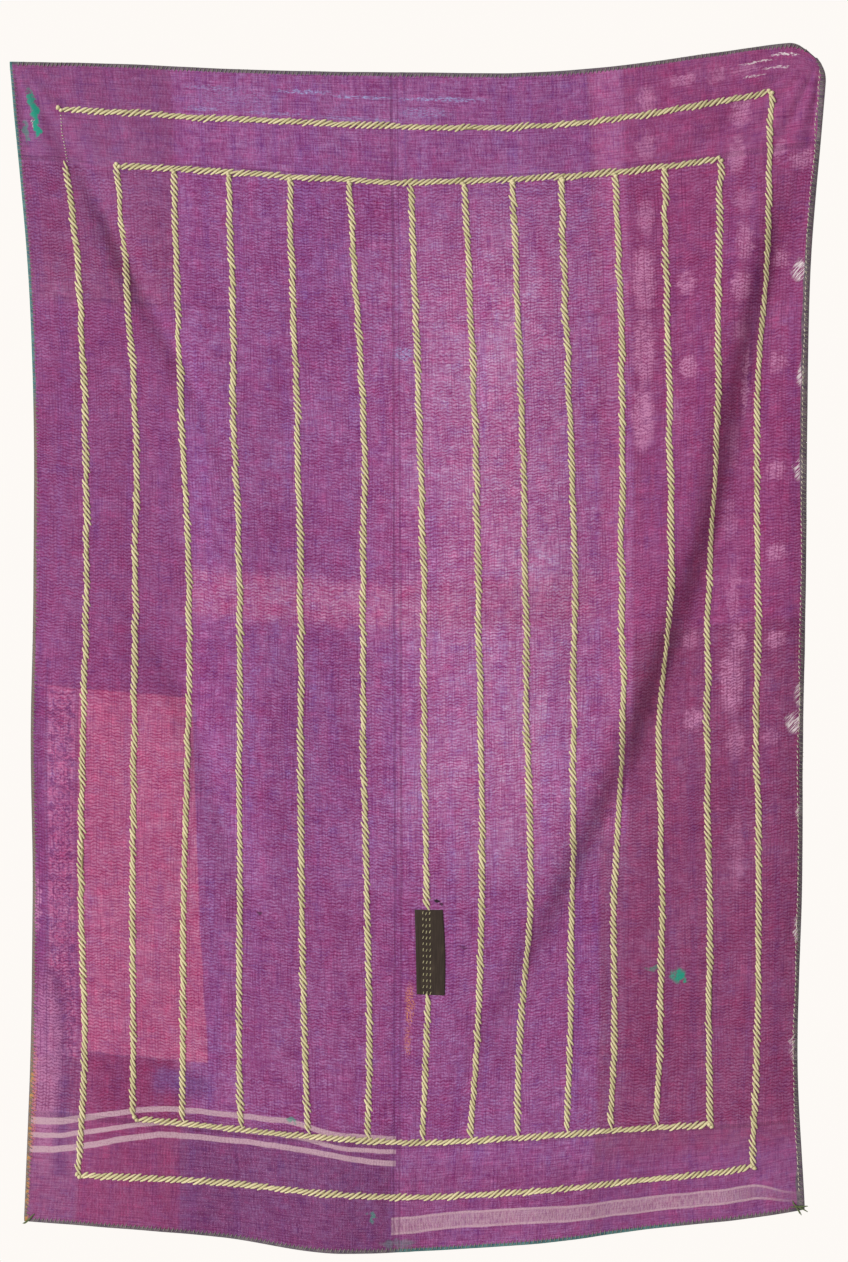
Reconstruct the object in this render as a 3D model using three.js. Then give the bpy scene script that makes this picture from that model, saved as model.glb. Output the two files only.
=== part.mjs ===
// A kantha quilt held up by its two top corners, so that it hangs face on between them.
// Worn cotton layers are stitched into one thick cloth. Two nested frames and ten upright
// lines of thick embroidery, worked like a laid rope, stand up from its face, and a small
// dark patch is sewn over one of them.
//
// Millimetres. X runs to the viewer's right and Z up, and the face looks along -Y.
// The origin is the middle of the top edge, halfway through the cloth.
import * as THREE from "three";

const CLOTH_THICKNESS = 3; // five or six layers of old sari cotton
const ROPE_WIDTH = 10;
const ROPE_RISE = 1.8;

const COTTON = { color: 0x8c4487, roughness: 0.9, metalness: 0 };
const PATCH_COTTON = { color: 0x302c26, roughness: 0.9, metalness: 0 };

// The upright lines of the face, left to right: x at each of these depths below the origin.
const DEPTHS = [60, 360, 660, 960, 1260, 1560, 1860, 2160];
const UPRIGHTS = [
  { line: "left edge", rope: null, x: [-769, -742, -730, -731, -737, -733, -736, -749] },
  { line: "outer left", rope: "outer", x: [-684, -648, -633, -630, -638, -640, -633, -650] },
  { line: "inner left", rope: "inner", x: [-581, -558, -537, -537, -540, -543, -542, -547] },
  { line: "first", rope: "inner", x: [-469, -459, -448, -434, -438, -446, -448, -452] },
  { line: "second", rope: "inner", x: [-365, -354, -349, -338, -338, -338, -339, -332] },
  { line: "third", rope: "inner", x: [-247, -240, -229, -223, -222, -220, -214, -203] },
  { line: "fourth", rope: "inner", x: [-139, -121, -103, -103, -105, -99, -94, -103] },
  { line: "fifth", rope: "inner", x: [-19, -9, 2, 10, 11, 16, 11, 2] },
  { line: "sixth", rope: "inner", x: [78, 95, 107, 112, 117, 120, 110, 86] },
  { line: "seventh", rope: "inner", x: [173, 184, 196, 203, 206, 213, 193, 188] },
  { line: "eighth", rope: "inner", x: [270, 276, 287, 296, 294, 291, 287, 272] },
  { line: "ninth", rope: "inner", x: [365, 381, 387, 385, 387, 373, 370, 352] },
  { line: "tenth", rope: "inner", x: [464, 471, 477, 478, 458, 463, 458, 445] },
  { line: "inner right", rope: "inner", x: [576, 571, 567, 554, 549, 553, 553, 553] },
  { line: "outer right", rope: "outer", x: [670, 662, 646, 645, 643, 646, 642, 629] },
  { line: "right edge", rope: null, x: [770, 747, 739, 735, 730, 728, 720, 734] },
];

// The level lines of the face, top to bottom: z at each of these places across.
const PLACES = [-775, -570, -380, -190, 0, 190, 380, 570, 700, 775];
const LEVELS = [
  {
    line: "top edge", rope: null,
    z: [22, 17, 8, 2, 0, -1, 13, 39, 56, 50],
  },
  {
    line: "outer top", rope: "outer",
    z: [-61, -74, -86, -96, -103, -103, -86, -55, -29, -21],
  },
  {
    line: "inner top", rope: "inner",
    z: [-162, -175, -187, -201, -209, -202, -188, -164, -146, -137],
  },
  {
    line: "inner foot", rope: "inner",
    z: [-1967, -1984, -2004, -2022, -2033, -2023, -2009, -1998, -1989, -1984],
  },
  {
    line: "outer foot", rope: "outer",
    z: [-2092, -2097, -2109, -2127, -2137, -2126, -2109, -2089, -2065, -2050],
  },
  {
    line: "bottom edge", rope: null,
    z: [-2182, -2193, -2212, -2238, -2239, -2225, -2204, -2182, -2164, -2153],
  },
];

// The line numbers, across and down, between which each frame of rope runs.
const FRAMES = {
  outer: { left: 1, right: 14, top: 1, foot: 4 },
  inner: { left: 2, right: 13, top: 2, foot: 3 },
};
const PATCHED_LINE = 7;

// The folds run down the cloth from top to foot. A "roll" stands forward on the left of its
// line and sinks on the right, and a "trough" sinks along it, or with a depth below 0 rises.
// x is the line at even steps from top to foot, half is half the width of the slope, and the
// fold comes and goes over those shares of its length.
const FOLDS = [
  {
    name: "right drape", kind: "roll", top: -120, foot: -2080, comes: 0.16, goes: 0.45,
    x: [718, 620, 533, 388, 200, -20], half: 25, depth: 19,
  },
  {
    name: "left drag", kind: "trough", top: -60, foot: -860, comes: 0.4, goes: 0.7,
    x: [-700, -598, -500, -396, -320], half: 24, depth: 19,
  },
  {
    name: "left lower drag", kind: "trough", top: -930, foot: -1750, comes: 0.3, goes: 0.5,
    x: [-590, -466, -392, -330, -300], half: 32, depth: 12,
  },
  {
    name: "left swell", kind: "trough", top: -380, foot: -1600, comes: 0.3, goes: 0.3,
    x: [-480, -372, -300, -270], half: 95, depth: -13,
  },
  {
    name: "middle swell", kind: "trough", top: -150, foot: -1900, comes: 0.3, goes: 0.3,
    x: [20, 60, 110, 60], half: 190, depth: -16,
  },
  {
    name: "left edge curl", kind: "trough", top: -900, foot: -1700, comes: 0.3, goes: 0.3,
    x: [-735, -720, -735], half: 34, depth: 9,
  },
  {
    name: "right edge swell", kind: "trough", top: -500, foot: -2100, comes: 0.3, goes: 0.3,
    x: [700, 690, 640], half: 60, depth: -9,
  },
  {
    name: "top right drag", kind: "trough", top: 20, foot: -260, comes: 0.3, goes: 0.6,
    x: [730, 560, 330], half: 16, depth: 5,
  },
];

const BELLY = 16; // how far the middle of the cloth hangs forward of its corners
const HALF_WIDTH = 760;
const HANG = 2240;

// Small pleats that fan out from each held corner.
const GRIPS = [
  { x: -770, z: 30, pleats: 9, rise: 3.2 },
  { x: 770, z: 45, pleats: 11, rise: 3.6 },
];
const GRIP_REACH = 330;

// The hem along the foot swings in long shallow waves that die out above it.
const HEM_WAVE = { rise: 7, length: 410, reach: 380, start: 0.9 };

// The top right corner is drawn in where it is gripped, so that it hangs rounded.
const GRIPPED_CORNER = { x: 775, z: 50, radius: 70 };

const PATCH = { left: -6, right: 44, top: -1588, foot: -1747, lean: 4.5, thickness: 1, gap: 0.6 };
const PATCH_STEPS = { across: 5, down: 14 };

const STEPS_BETWEEN_UPRIGHTS = 2; // plain columns of points between two neighbouring lines
const STEPS_IN_BORDER = 2; // plain rows between the edge, the outer frame and the inner one
const STEPS_IN_FIELD = 30; // plain rows inside the inner frame

const clamp01 = (value) => Math.min(1, Math.max(0, value));
const ease = (value) => clamp01(value) ** 2 * (3 - 2 * clamp01(value));

// A smooth curve through the values at the stations, straight beyond the two ends.
function through(stations, values, at) {
  const last = stations.length - 1;
  const slope = (k) => {
    const from = Math.max(0, k - 1);
    const to = Math.min(last, k + 1);
    return (values[to] - values[from]) / (stations[to] - stations[from]);
  };
  if (at <= stations[0]) return values[0] + slope(0) * (at - stations[0]);
  if (at >= stations[last]) return values[last] + slope(last) * (at - stations[last]);
  const k = stations.findIndex((station) => station > at) - 1;
  const span = stations[k + 1] - stations[k];
  const t = (at - stations[k]) / span;
  return (
    values[k] * (1 + 2 * t) * (1 - t) ** 2 +
    slope(k) * span * t * (1 - t) ** 2 +
    values[k + 1] * t * t * (3 - 2 * t) +
    slope(k + 1) * span * t * t * (t - 1)
  );
}

// Between line number floor(at) and the next one, as far along as at says.
function between(lines, at, valueOf) {
  const k = Math.min(lines.length - 2, Math.floor(at));
  const share = at - k;
  return valueOf(lines[k]) * (1 - share) + valueOf(lines[k + 1]) * share;
}

// The point of the hanging cloth, seen face on, at a line number across and one down.
function facePoint(across, down) {
  let x = 0;
  let z = -HANG / 2;
  for (let pass = 0; pass < 8; pass++) {
    x = between(UPRIGHTS, across, (upright) => through(DEPTHS, upright.x, -z));
    z = between(LEVELS, down, (level) => through(PLACES, level.z, x));
  }
  const { radius } = GRIPPED_CORNER;
  const u = clamp01(1 - (GRIPPED_CORNER.x - x) / radius);
  const v = clamp01(1 - (GRIPPED_CORNER.z - z) / radius);
  return {
    x: x - radius * u * (1 - Math.sqrt(1 - (v * v) / 2)),
    z: z - radius * v * (1 - Math.sqrt(1 - (u * u) / 2)),
  };
}

function foldDepth(fold, x, z) {
  const along = (fold.top - z) / (fold.top - fold.foot);
  if (along <= 0 || along >= 1) return 0;
  const stations = fold.x.map((_, k) => k / (fold.x.length - 1));
  const line = through(stations, fold.x, along);
  const step = 0.01;
  const lean =
    (through(stations, fold.x, along + step) - line) / (step * (fold.top - fold.foot));
  const aside = (x - line) / Math.hypot(1, lean) / fold.half;
  const strength = fold.depth * ease(along / fold.comes) * ease((1 - along) / fold.goes);
  if (fold.kind === "roll") return strength * Math.tanh(aside) * Math.exp(-((aside / 4) ** 2));
  return strength * Math.exp(-aside * aside);
}

function pleatDepth(grip, x, z) {
  const aside = x - grip.x;
  const below = grip.z - z;
  const distance = Math.hypot(aside, below);
  const angle = Math.atan2(below, Math.abs(aside));
  const near = ease(distance / 150) * (1 - ease(distance / GRIP_REACH));
  return grip.rise * near * Math.cos(2 * grip.pleats * angle);
}

function rawDrape(x, z) {
  const across = clamp01(Math.abs(x) / HALF_WIDTH);
  const down = clamp01(-z / HANG);
  let y = -BELLY * (1 - across * across) * Math.sin(Math.PI * Math.min(1, 0.12 + 0.8 * down));
  for (const fold of FOLDS) y += foldDepth(fold, x, z);
  for (const grip of GRIPS) y += pleatDepth(grip, x, z);
  const swing = ease(1 - (z + HANG) / HEM_WAVE.reach);
  y += HEM_WAVE.rise * swing * Math.sin((2 * Math.PI * x) / HEM_WAVE.length + HEM_WAVE.start);
  return y;
}

// How far back the middle of the cloth lies, with the middle of the top edge at 0.
const DRAPE_AT_ORIGIN = rawDrape(0, 0);
const drape = (x, z) => rawDrape(x, z) - DRAPE_AT_ORIGIN;

// The direction that the face looks in.
function faceNormal(x, z) {
  const step = 2;
  const slopeX = (drape(x + step, z) - drape(x - step, z)) / (2 * step);
  const slopeZ = (drape(x, z + step) - drape(x, z - step)) / (2 * step);
  return new THREE.Vector3(slopeX, -1, slopeZ).normalize();
}

function clothPoint(x, z, outward) {
  return new THREE.Vector3(x, drape(x, z), z).addScaledVector(faceNormal(x, z), outward);
}

// Columns or rows of points: plain ones between the lines, and a foot, a crest and a foot
// on each line that carries a rope. The back of the cloth keeps only those marked plain.
function stepsOver(lines, plainSteps) {
  const steps = [];
  lines.forEach((entry, k) => {
    if (entry.rope) {
      steps.push({ at: k, shift: -ROPE_WIDTH / 2, crest: false, plain: false });
      steps.push({ at: k, shift: 0, crest: true, plain: true });
      steps.push({ at: k, shift: ROPE_WIDTH / 2, crest: false, plain: false });
    } else {
      steps.push({ at: k, shift: 0, crest: false, plain: true });
    }
    const count = k < lines.length - 1 ? plainSteps(k) : 0;
    for (let step = 1; step <= count; step++)
      steps.push({ at: k + step / (count + 1), shift: 0, crest: false, plain: true });
  });
  return steps;
}

function ropeRise(column, row) {
  const within = (at, from, to) => at >= from && at <= to;
  if (column.crest) {
    const frame = FRAMES[UPRIGHTS[column.at].rope];
    const { z } = facePoint(column.at, row.at);
    const patched = column.at === PATCHED_LINE && z < PATCH.top + 30 && z > PATCH.foot - 30;
    if (within(row.at, frame.top, frame.foot) && !patched) return ROPE_RISE;
  }
  if (row.crest) {
    const frame = FRAMES[LEVELS[row.at].rope];
    if (within(column.at, frame.left, frame.right)) return ROPE_RISE;
  }
  return 0;
}

function gridPoint(column, row, outward) {
  const { x, z } = facePoint(column.at, row.at);
  return clothPoint(x + column.shift, z - row.shift, outward);
}

// Two triangles for each cell of a grid of points, cut along the way the folds run there:
// down to the right on the left side of the cloth and down to the left on the other.
function coverGrid(columns, rows, indexOf, flipped, triangles) {
  for (let i = 0; i + 1 < columns.length; i++)
    for (let j = 0; j + 1 < rows.length; j++) {
      const a = indexOf(columns[i], rows[j]);
      const b = indexOf(columns[i], rows[j + 1]);
      const c = indexOf(columns[i + 1], rows[j + 1]);
      const d = indexOf(columns[i + 1], rows[j]);
      const leftSide = columns[i].at < PATCHED_LINE;
      const pair = leftSide ? [[a, b, c], [a, c, d]] : [[a, b, d], [b, c, d]];
      for (const [p, q, r] of pair) triangles.push(...(flipped ? [p, r, q] : [p, q, r]));
    }
}

// The rim between the full front edge and the sparser back edge, walked the same way.
function coverRim(frontEdge, backEdge, isPlain, triangles) {
  let behind = 0;
  for (let k = 0; k + 1 < frontEdge.length; k++) {
    triangles.push(frontEdge[k + 1], frontEdge[k], backEdge[behind]);
    if (isPlain(k + 1)) {
      triangles.push(frontEdge[k + 1], backEdge[behind], backEdge[behind + 1]);
      behind += 1;
    }
  }
}

function meshFrom(points, triangles, name, finish) {
  const geometry = new THREE.BufferGeometry().setFromPoints(points).setIndex(triangles);
  geometry.computeVertexNormals();
  const mesh = new THREE.Mesh(geometry, new THREE.MeshStandardMaterial(finish));
  mesh.name = name;
  return mesh;
}

function quilt() {
  const columns = stepsOver(UPRIGHTS, () => STEPS_BETWEEN_UPRIGHTS);
  const rows = stepsOver(LEVELS, (k) => (k === FRAMES.inner.top ? STEPS_IN_FIELD : STEPS_IN_BORDER));
  const plainColumns = columns.filter((column) => column.plain);
  const plainRows = rows.filter((row) => row.plain);
  const points = [];
  const front = new Map();
  const back = new Map();
  const half = CLOTH_THICKNESS / 2;
  for (const column of columns) {
    front.set(column, new Map());
    for (const row of rows) {
      front.get(column).set(row, points.length);
      points.push(gridPoint(column, row, half + ropeRise(column, row)));
    }
  }
  for (const column of plainColumns) {
    back.set(column, new Map());
    for (const row of plainRows) {
      back.get(column).set(row, points.length);
      points.push(gridPoint(column, row, -half));
    }
  }
  const frontIndex = (column, row) => front.get(column).get(row);
  const backIndex = (column, row) => back.get(column).get(row);
  const triangles = [];
  coverGrid(columns, rows, frontIndex, false, triangles);
  coverGrid(plainColumns, plainRows, backIndex, true, triangles);

  const [firstRow, lastRow] = [rows[0], rows.at(-1)];
  const [firstColumn, lastColumn] = [columns[0], columns.at(-1)];
  const rim = (steps, frontAt, backAt) => {
    const plainSteps = steps.filter((step) => step.plain);
    const isPlain = (k) => steps[k].plain;
    coverRim(steps.map(frontAt), plainSteps.map(backAt), isPlain, triangles);
  };
  const upRows = [...rows].reverse();
  const leftColumns = [...columns].reverse();
  rim(rows, (row) => frontIndex(firstColumn, row), (row) => backIndex(firstColumn, row));
  rim(columns, (column) => frontIndex(column, lastRow), (column) => backIndex(column, lastRow));
  rim(upRows, (row) => frontIndex(lastColumn, row), (row) => backIndex(lastColumn, row));
  rim(leftColumns, (column) => frontIndex(column, firstRow), (column) => backIndex(column, firstRow));
  return meshFrom(points, triangles, "quilt", COTTON);
}

// A sewn-on rectangle that lies on the face, leaning a little as it goes down.
function patch() {
  const { across, down } = PATCH_STEPS;
  const points = [];
  const triangles = [];
  const under = CLOTH_THICKNESS / 2 + PATCH.gap;
  for (const outward of [under + PATCH.thickness, under])
    for (let i = 0; i <= across; i++)
      for (let j = 0; j <= down; j++) {
        const x = PATCH.left + ((PATCH.right - PATCH.left) * i) / across + (PATCH.lean * j) / down;
        const z = PATCH.top + ((PATCH.foot - PATCH.top) * j) / down;
        points.push(clothPoint(x, z, outward));
      }
  const perSide = (across + 1) * (down + 1);
  const at = (side, i, j) => side * perSide + i * (down + 1) + j;
  for (let i = 0; i < across; i++)
    for (let j = 0; j < down; j++) {
      triangles.push(at(0, i, j), at(0, i, j + 1), at(0, i + 1, j + 1));
      triangles.push(at(0, i, j), at(0, i + 1, j + 1), at(0, i + 1, j));
      triangles.push(at(1, i, j), at(1, i + 1, j + 1), at(1, i, j + 1));
      triangles.push(at(1, i, j), at(1, i + 1, j), at(1, i + 1, j + 1));
    }
  const edge = [];
  for (let j = 0; j < down; j++) edge.push([0, j]);
  for (let i = 0; i < across; i++) edge.push([i, down]);
  for (let j = down; j > 0; j--) edge.push([across, j]);
  for (let i = across; i > 0; i--) edge.push([i, 0]);
  edge.forEach(([i, j], k) => {
    const [nextI, nextJ] = edge[(k + 1) % edge.length];
    triangles.push(at(0, nextI, nextJ), at(0, i, j), at(1, i, j));
    triangles.push(at(0, nextI, nextJ), at(1, i, j), at(1, nextI, nextJ));
  });
  return meshFrom(points, triangles, "patch", PATCH_COTTON);
}

const kanthaQuilt = new THREE.Group();
kanthaQuilt.name = "kantha_quilt";
kanthaQuilt.add(quilt(), patch());

export default kanthaQuilt;
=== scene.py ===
import math
from collections import namedtuple

import bpy
import numpy as np
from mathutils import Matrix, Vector


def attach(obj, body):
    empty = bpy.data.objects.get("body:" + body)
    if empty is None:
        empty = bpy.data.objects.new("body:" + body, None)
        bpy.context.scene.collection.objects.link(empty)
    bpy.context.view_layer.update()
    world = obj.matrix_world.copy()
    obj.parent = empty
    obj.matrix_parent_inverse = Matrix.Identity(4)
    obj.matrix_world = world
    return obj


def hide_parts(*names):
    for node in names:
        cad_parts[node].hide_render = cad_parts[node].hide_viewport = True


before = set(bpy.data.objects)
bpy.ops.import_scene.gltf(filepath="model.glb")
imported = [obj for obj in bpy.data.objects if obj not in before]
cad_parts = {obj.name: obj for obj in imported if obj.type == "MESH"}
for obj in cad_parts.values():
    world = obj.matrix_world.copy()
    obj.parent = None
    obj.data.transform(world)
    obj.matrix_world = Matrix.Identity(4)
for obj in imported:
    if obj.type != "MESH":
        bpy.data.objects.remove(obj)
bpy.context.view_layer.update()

# A kantha quilt that hangs by its two top corners: layers of worn, overdyed cotton, held
# together by rows of running stitch, with thick rope-like embroidery on the face.
# The tables are in millimetres, and what Blender gets is in metres. Places on the hanging
# quilt are x to the right and z up from the middle of its top edge. Places on the cloth,
# as it was laid flat and sewn, are s from its left edge and t down from its top edge.
MM = 0.001
FLAT_WIDTH = 1524
FLAT_LENGTH = 2286
CLOTH_THICKNESS = 3

# A line on the flat cloth, and where it hangs at each of a row of places.
Line = namedtuple("Line", "name flat hung")

# The upright lines, left to right: where each lies on the flat cloth, and its x at each of
# these depths below the origin as the cloth hangs.
DEPTHS = [60, 360, 660, 960, 1260, 1560, 1860, 2160]
UPRIGHTS = [
    Line("left edge", 0, [-769, -742, -730, -731, -737, -733, -736, -749]),
    Line("outer left", 102, [-684, -648, -633, -630, -638, -640, -633, -650]),
    Line("inner left", 200, [-581, -558, -537, -537, -540, -543, -542, -547]),
    Line("first", 300, [-469, -459, -448, -434, -438, -446, -448, -452]),
    Line("second", 409, [-365, -354, -349, -338, -338, -338, -339, -332]),
    Line("third", 533, [-247, -240, -229, -223, -222, -220, -214, -203]),
    Line("fourth", 656, [-139, -121, -103, -103, -105, -99, -94, -103]),
    Line("seam", 725, [-42, -40, -40, -39, -38, -38, -40, -41]),
    Line("fifth", 773, [-19, -9, 2, 10, 11, 16, 11, 2]),
    Line("sixth", 878, [78, 95, 107, 112, 117, 120, 110, 86]),
    Line("seventh", 970, [173, 184, 196, 203, 206, 213, 193, 188]),
    Line("eighth", 1063, [270, 276, 287, 296, 294, 291, 287, 272]),
    Line("ninth", 1160, [365, 381, 387, 385, 387, 373, 370, 352]),
    Line("tenth", 1250, [464, 471, 477, 478, 458, 463, 458, 445]),
    Line("inner right", 1348, [576, 571, 567, 554, 549, 553, 553, 553]),
    Line("outer right", 1440, [670, 662, 646, 645, 643, 646, 642, 629]),
    Line("right edge", 1524, [770, 747, 739, 735, 730, 728, 720, 734]),
]

# The level lines, top to bottom: where each lies on the flat cloth, and its z at each of
# these places across as the cloth hangs.
PLACES = [-775, -570, -380, -190, 0, 190, 380, 570, 700, 775]
LEVELS = [
    Line("top edge", 0, [22, 17, 8, 2, 0, -1, 13, 39, 56, 50]),
    Line("outer top", 105, [-61, -74, -86, -96, -103, -103, -86, -55, -29, -21]),
    Line("inner top", 205, [-162, -175, -187, -201, -209, -202, -188, -164, -146, -137]),
    Line("inner foot", 2070, [-1967, -1984, -2004, -2022, -2033, -2023, -2009, -1998, -1989, -1984]),
    Line("outer foot", 2168, [-2092, -2097, -2109, -2127, -2137, -2126, -2109, -2089, -2065, -2050]),
    Line("bottom edge", 2286, [-2182, -2193, -2212, -2238, -2239, -2225, -2204, -2182, -2164, -2153]),
]

# The folds, as in the solid: a roll stands forward on the left of its line and sinks on the
# right, and a trough sinks along it, or with a depth below 0 rises. top and foot are the z of
# its ends, x is the line at even steps between them, half is how far to each side it
# reaches, and the fold comes and goes over those shares of its length.
Fold = namedtuple("Fold", "name kind top foot comes goes half depth x")
FOLDS = [
    Fold("right drape", "roll", -120, -2080, 0.16, 0.45, 25, 19, [718, 620, 533, 388, 200, -20]),
    Fold("left drag", "trough", -60, -860, 0.4, 0.7, 24, 19, [-700, -598, -500, -396, -320]),
    Fold("left lower drag", "trough", -930, -1750, 0.3, 0.5, 32, 12, [-590, -466, -392, -330, -300]),
    Fold("left swell", "trough", -380, -1600, 0.3, 0.3, 95, -13, [-480, -372, -300, -270]),
    Fold("middle swell", "trough", -150, -1900, 0.3, 0.3, 190, -16, [20, 60, 110, 60]),
    Fold("left edge curl", "trough", -900, -1700, 0.3, 0.3, 34, 9, [-735, -720, -735]),
    Fold("right edge swell", "trough", -500, -2100, 0.3, 0.3, 60, -9, [700, 690, 640]),
    Fold("top right drag", "trough", 20, -260, 0.3, 0.6, 16, 5, [730, 560, 330]),
]

# The cloth also bellies forward in its middle, pleats fan out from the two gripped corners,
# the hem waves, and the right corner is rounded where it is held.
BELLY = 16
HALF_WIDTH = 760
HANG = 2240
GRIPS = [
    {"x": -770, "z": 30, "pleats": 9, "rise": 3.2},
    {"x": 770, "z": 45, "pleats": 11, "rise": 3.6},
]
GRIP_REACH = 330
HEM_WAVE = {"rise": 7, "length": 410, "reach": 380, "start": 0.9}
GRIPPED_CORNER = {"x": 775, "z": 50, "radius": 70}

# The rows of running stitch, and the small puckers that they draw up between them.
ROW_PITCH = 6.4
STITCH_PITCH = 5.9
PUCKER_RISE = 0.5

# The sewn lines by name. The rows of stitches lie level inside the inner frame, the rope
# embroidery runs along all the lines but the seam and the edges, and the patch lies over one
# of them. On the back the ropes come through as dashes.
FLAT_ACROSS = [upright.flat for upright in UPRIGHTS]
FLAT_DOWN = [level.flat for level in LEVELS]
OUTER_LEFT, INNER_LEFT = FLAT_ACROSS[1:3]
INNER_RIGHT, OUTER_RIGHT = FLAT_ACROSS[14:16]
OUTER_TOP, INNER_TOP, INNER_FOOT, OUTER_FOOT = FLAT_DOWN[1:5]
SEAM, PATCHED_LINE = FLAT_ACROSS[7:9]
LINES_ACROSS = FLAT_ACROSS[3:7] + FLAT_ACROSS[9:14]
DASH_PITCH = 12.6


# ---- The shape of the hanging cloth ----------------------------------------------------


def ease(share):
    share = np.clip(share, 0, 1)
    return share * share * (3 - 2 * share)


def through(stations, values, at):
    """A smooth curve through the values at the stations, straight beyond its two ends."""
    stations = np.asarray(stations, float)
    values = np.asarray(values, float)
    slopes = np.gradient(values, stations)
    slopes[1:-1] = (values[2:] - values[:-2]) / (stations[2:] - stations[:-2])
    k = np.clip(np.searchsorted(stations, at, side="right") - 1, 0, len(stations) - 2)
    span = stations[k + 1] - stations[k]
    share = (at - stations[k]) / span
    inside = (
        values[k] * (1 + 2 * share) * (1 - share) ** 2
        + slopes[k] * span * share * (1 - share) ** 2
        + values[k + 1] * share * share * (3 - 2 * share)
        + slopes[k + 1] * span * share * share * (share - 1)
    )
    before = values[0] + slopes[0] * (at - stations[0])
    after = values[-1] + slopes[-1] * (at - stations[-1])
    return np.where(share < 0, before, np.where(share > 1, after, inside))


def between(lines, at, place_of):
    """Between line number floor(at) and the next one, as far along as at says."""
    places = np.array([place_of(line) for line in lines])
    first = np.clip(np.floor(at).astype(int), 0, len(lines) - 2)
    share = at - first
    each = np.arange(at.size)
    return places[first, each] * (1 - share) + places[first + 1, each] * share


def hung_place(s, t):
    """The x and z at which a place on the flat cloth hangs."""
    across = np.interp(s, FLAT_ACROSS, np.arange(len(UPRIGHTS)))
    down = np.interp(t, FLAT_DOWN, np.arange(len(LEVELS)))
    x = np.zeros(across.size)
    z = np.full(across.size, -HANG / 2)
    for _ in range(5):
        x = between(UPRIGHTS, across, lambda upright: through(DEPTHS, upright.hung, -z))
        z = between(LEVELS, down, lambda level: through(PLACES, level.hung, x))
    radius = GRIPPED_CORNER["radius"]
    u = np.clip(1 - (GRIPPED_CORNER["x"] - x) / radius, 0, 1)
    v = np.clip(1 - (GRIPPED_CORNER["z"] - z) / radius, 0, 1)
    inward = radius * u * (1 - np.sqrt(1 - v * v / 2))
    downward = radius * v * (1 - np.sqrt(1 - u * u / 2))
    return x - inward, z - downward


def fold_depth(fold, x, z):
    length = fold.top - fold.foot
    along = (fold.top - z) / length
    stations = np.linspace(0, 1, len(fold.x))
    line = through(stations, fold.x, along)
    step = 0.01
    lean = (through(stations, fold.x, along + step) - line) / (step * length)
    aside = (x - line) / np.hypot(1, lean) / fold.half
    strength = fold.depth * ease(along / fold.comes) * ease((1 - along) / fold.goes)
    if fold.kind == "roll":
        return strength * np.tanh(aside) * np.exp(-((aside / 4) ** 2))
    return strength * np.exp(-aside * aside)


def pleat_depth(grip, x, z):
    aside = x - grip["x"]
    below = grip["z"] - z
    distance = np.hypot(aside, below)
    angle = np.arctan2(below, np.abs(aside))
    near = ease(distance / 150) * (1 - ease(distance / GRIP_REACH))
    return grip["rise"] * near * np.cos(2 * grip["pleats"] * angle)


def raw_drape(x, z):
    across = np.clip(np.abs(x) / HALF_WIDTH, 0, 1)
    down = np.clip(-z / HANG, 0, 1)
    y = -BELLY * (1 - across**2) * np.sin(np.pi * np.minimum(1, 0.12 + 0.8 * down))
    for fold in FOLDS:
        y = y + fold_depth(fold, x, z)
    for grip in GRIPS:
        y = y + pleat_depth(grip, x, z)
    swing = ease(1 - (z + HANG) / HEM_WAVE["reach"])
    wave = np.sin(2 * np.pi * x / HEM_WAVE["length"] + HEM_WAVE["start"])
    return y + HEM_WAVE["rise"] * swing * wave


def drape(x, z):
    """How far back the middle of the cloth lies at a place."""
    return raw_drape(x, z) - raw_drape(np.zeros(1), np.zeros(1))[0]


def face_normal(x, z):
    """The direction that the face looks in."""
    step = 2
    slope_x = (drape(x + step, z) - drape(x - step, z)) / (2 * step)
    slope_z = (drape(x, z + step) - drape(x, z - step)) / (2 * step)
    normal = np.stack([slope_x, -np.ones_like(x), slope_z], 1)
    return normal / np.linalg.norm(normal, axis=1, keepdims=True)


def rumple(s, t, wide, tall, seed):
    """Smooth unevenness from -1 to 1 over the flat cloth, in lumps of a given size."""
    lumps = np.random.default_rng(seed).uniform(-1, 1, (int(1700 / wide) + 3, int(2500 / tall) + 3))
    i = np.clip(s / wide + 0.5, 0, lumps.shape[0] - 1.001)
    j = np.clip(t / tall + 0.5, 0, lumps.shape[1] - 1.001)
    first_i = i.astype(int)
    first_j = j.astype(int)
    share_i = ease(i - first_i)
    share_j = ease(j - first_j)
    upper = lumps[first_i, first_j] * (1 - share_i) + lumps[first_i + 1, first_j] * share_i
    lower = lumps[first_i, first_j + 1] * (1 - share_i) + lumps[first_i + 1, first_j + 1] * share_i
    return upper * (1 - share_j) + lower * share_j


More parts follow.
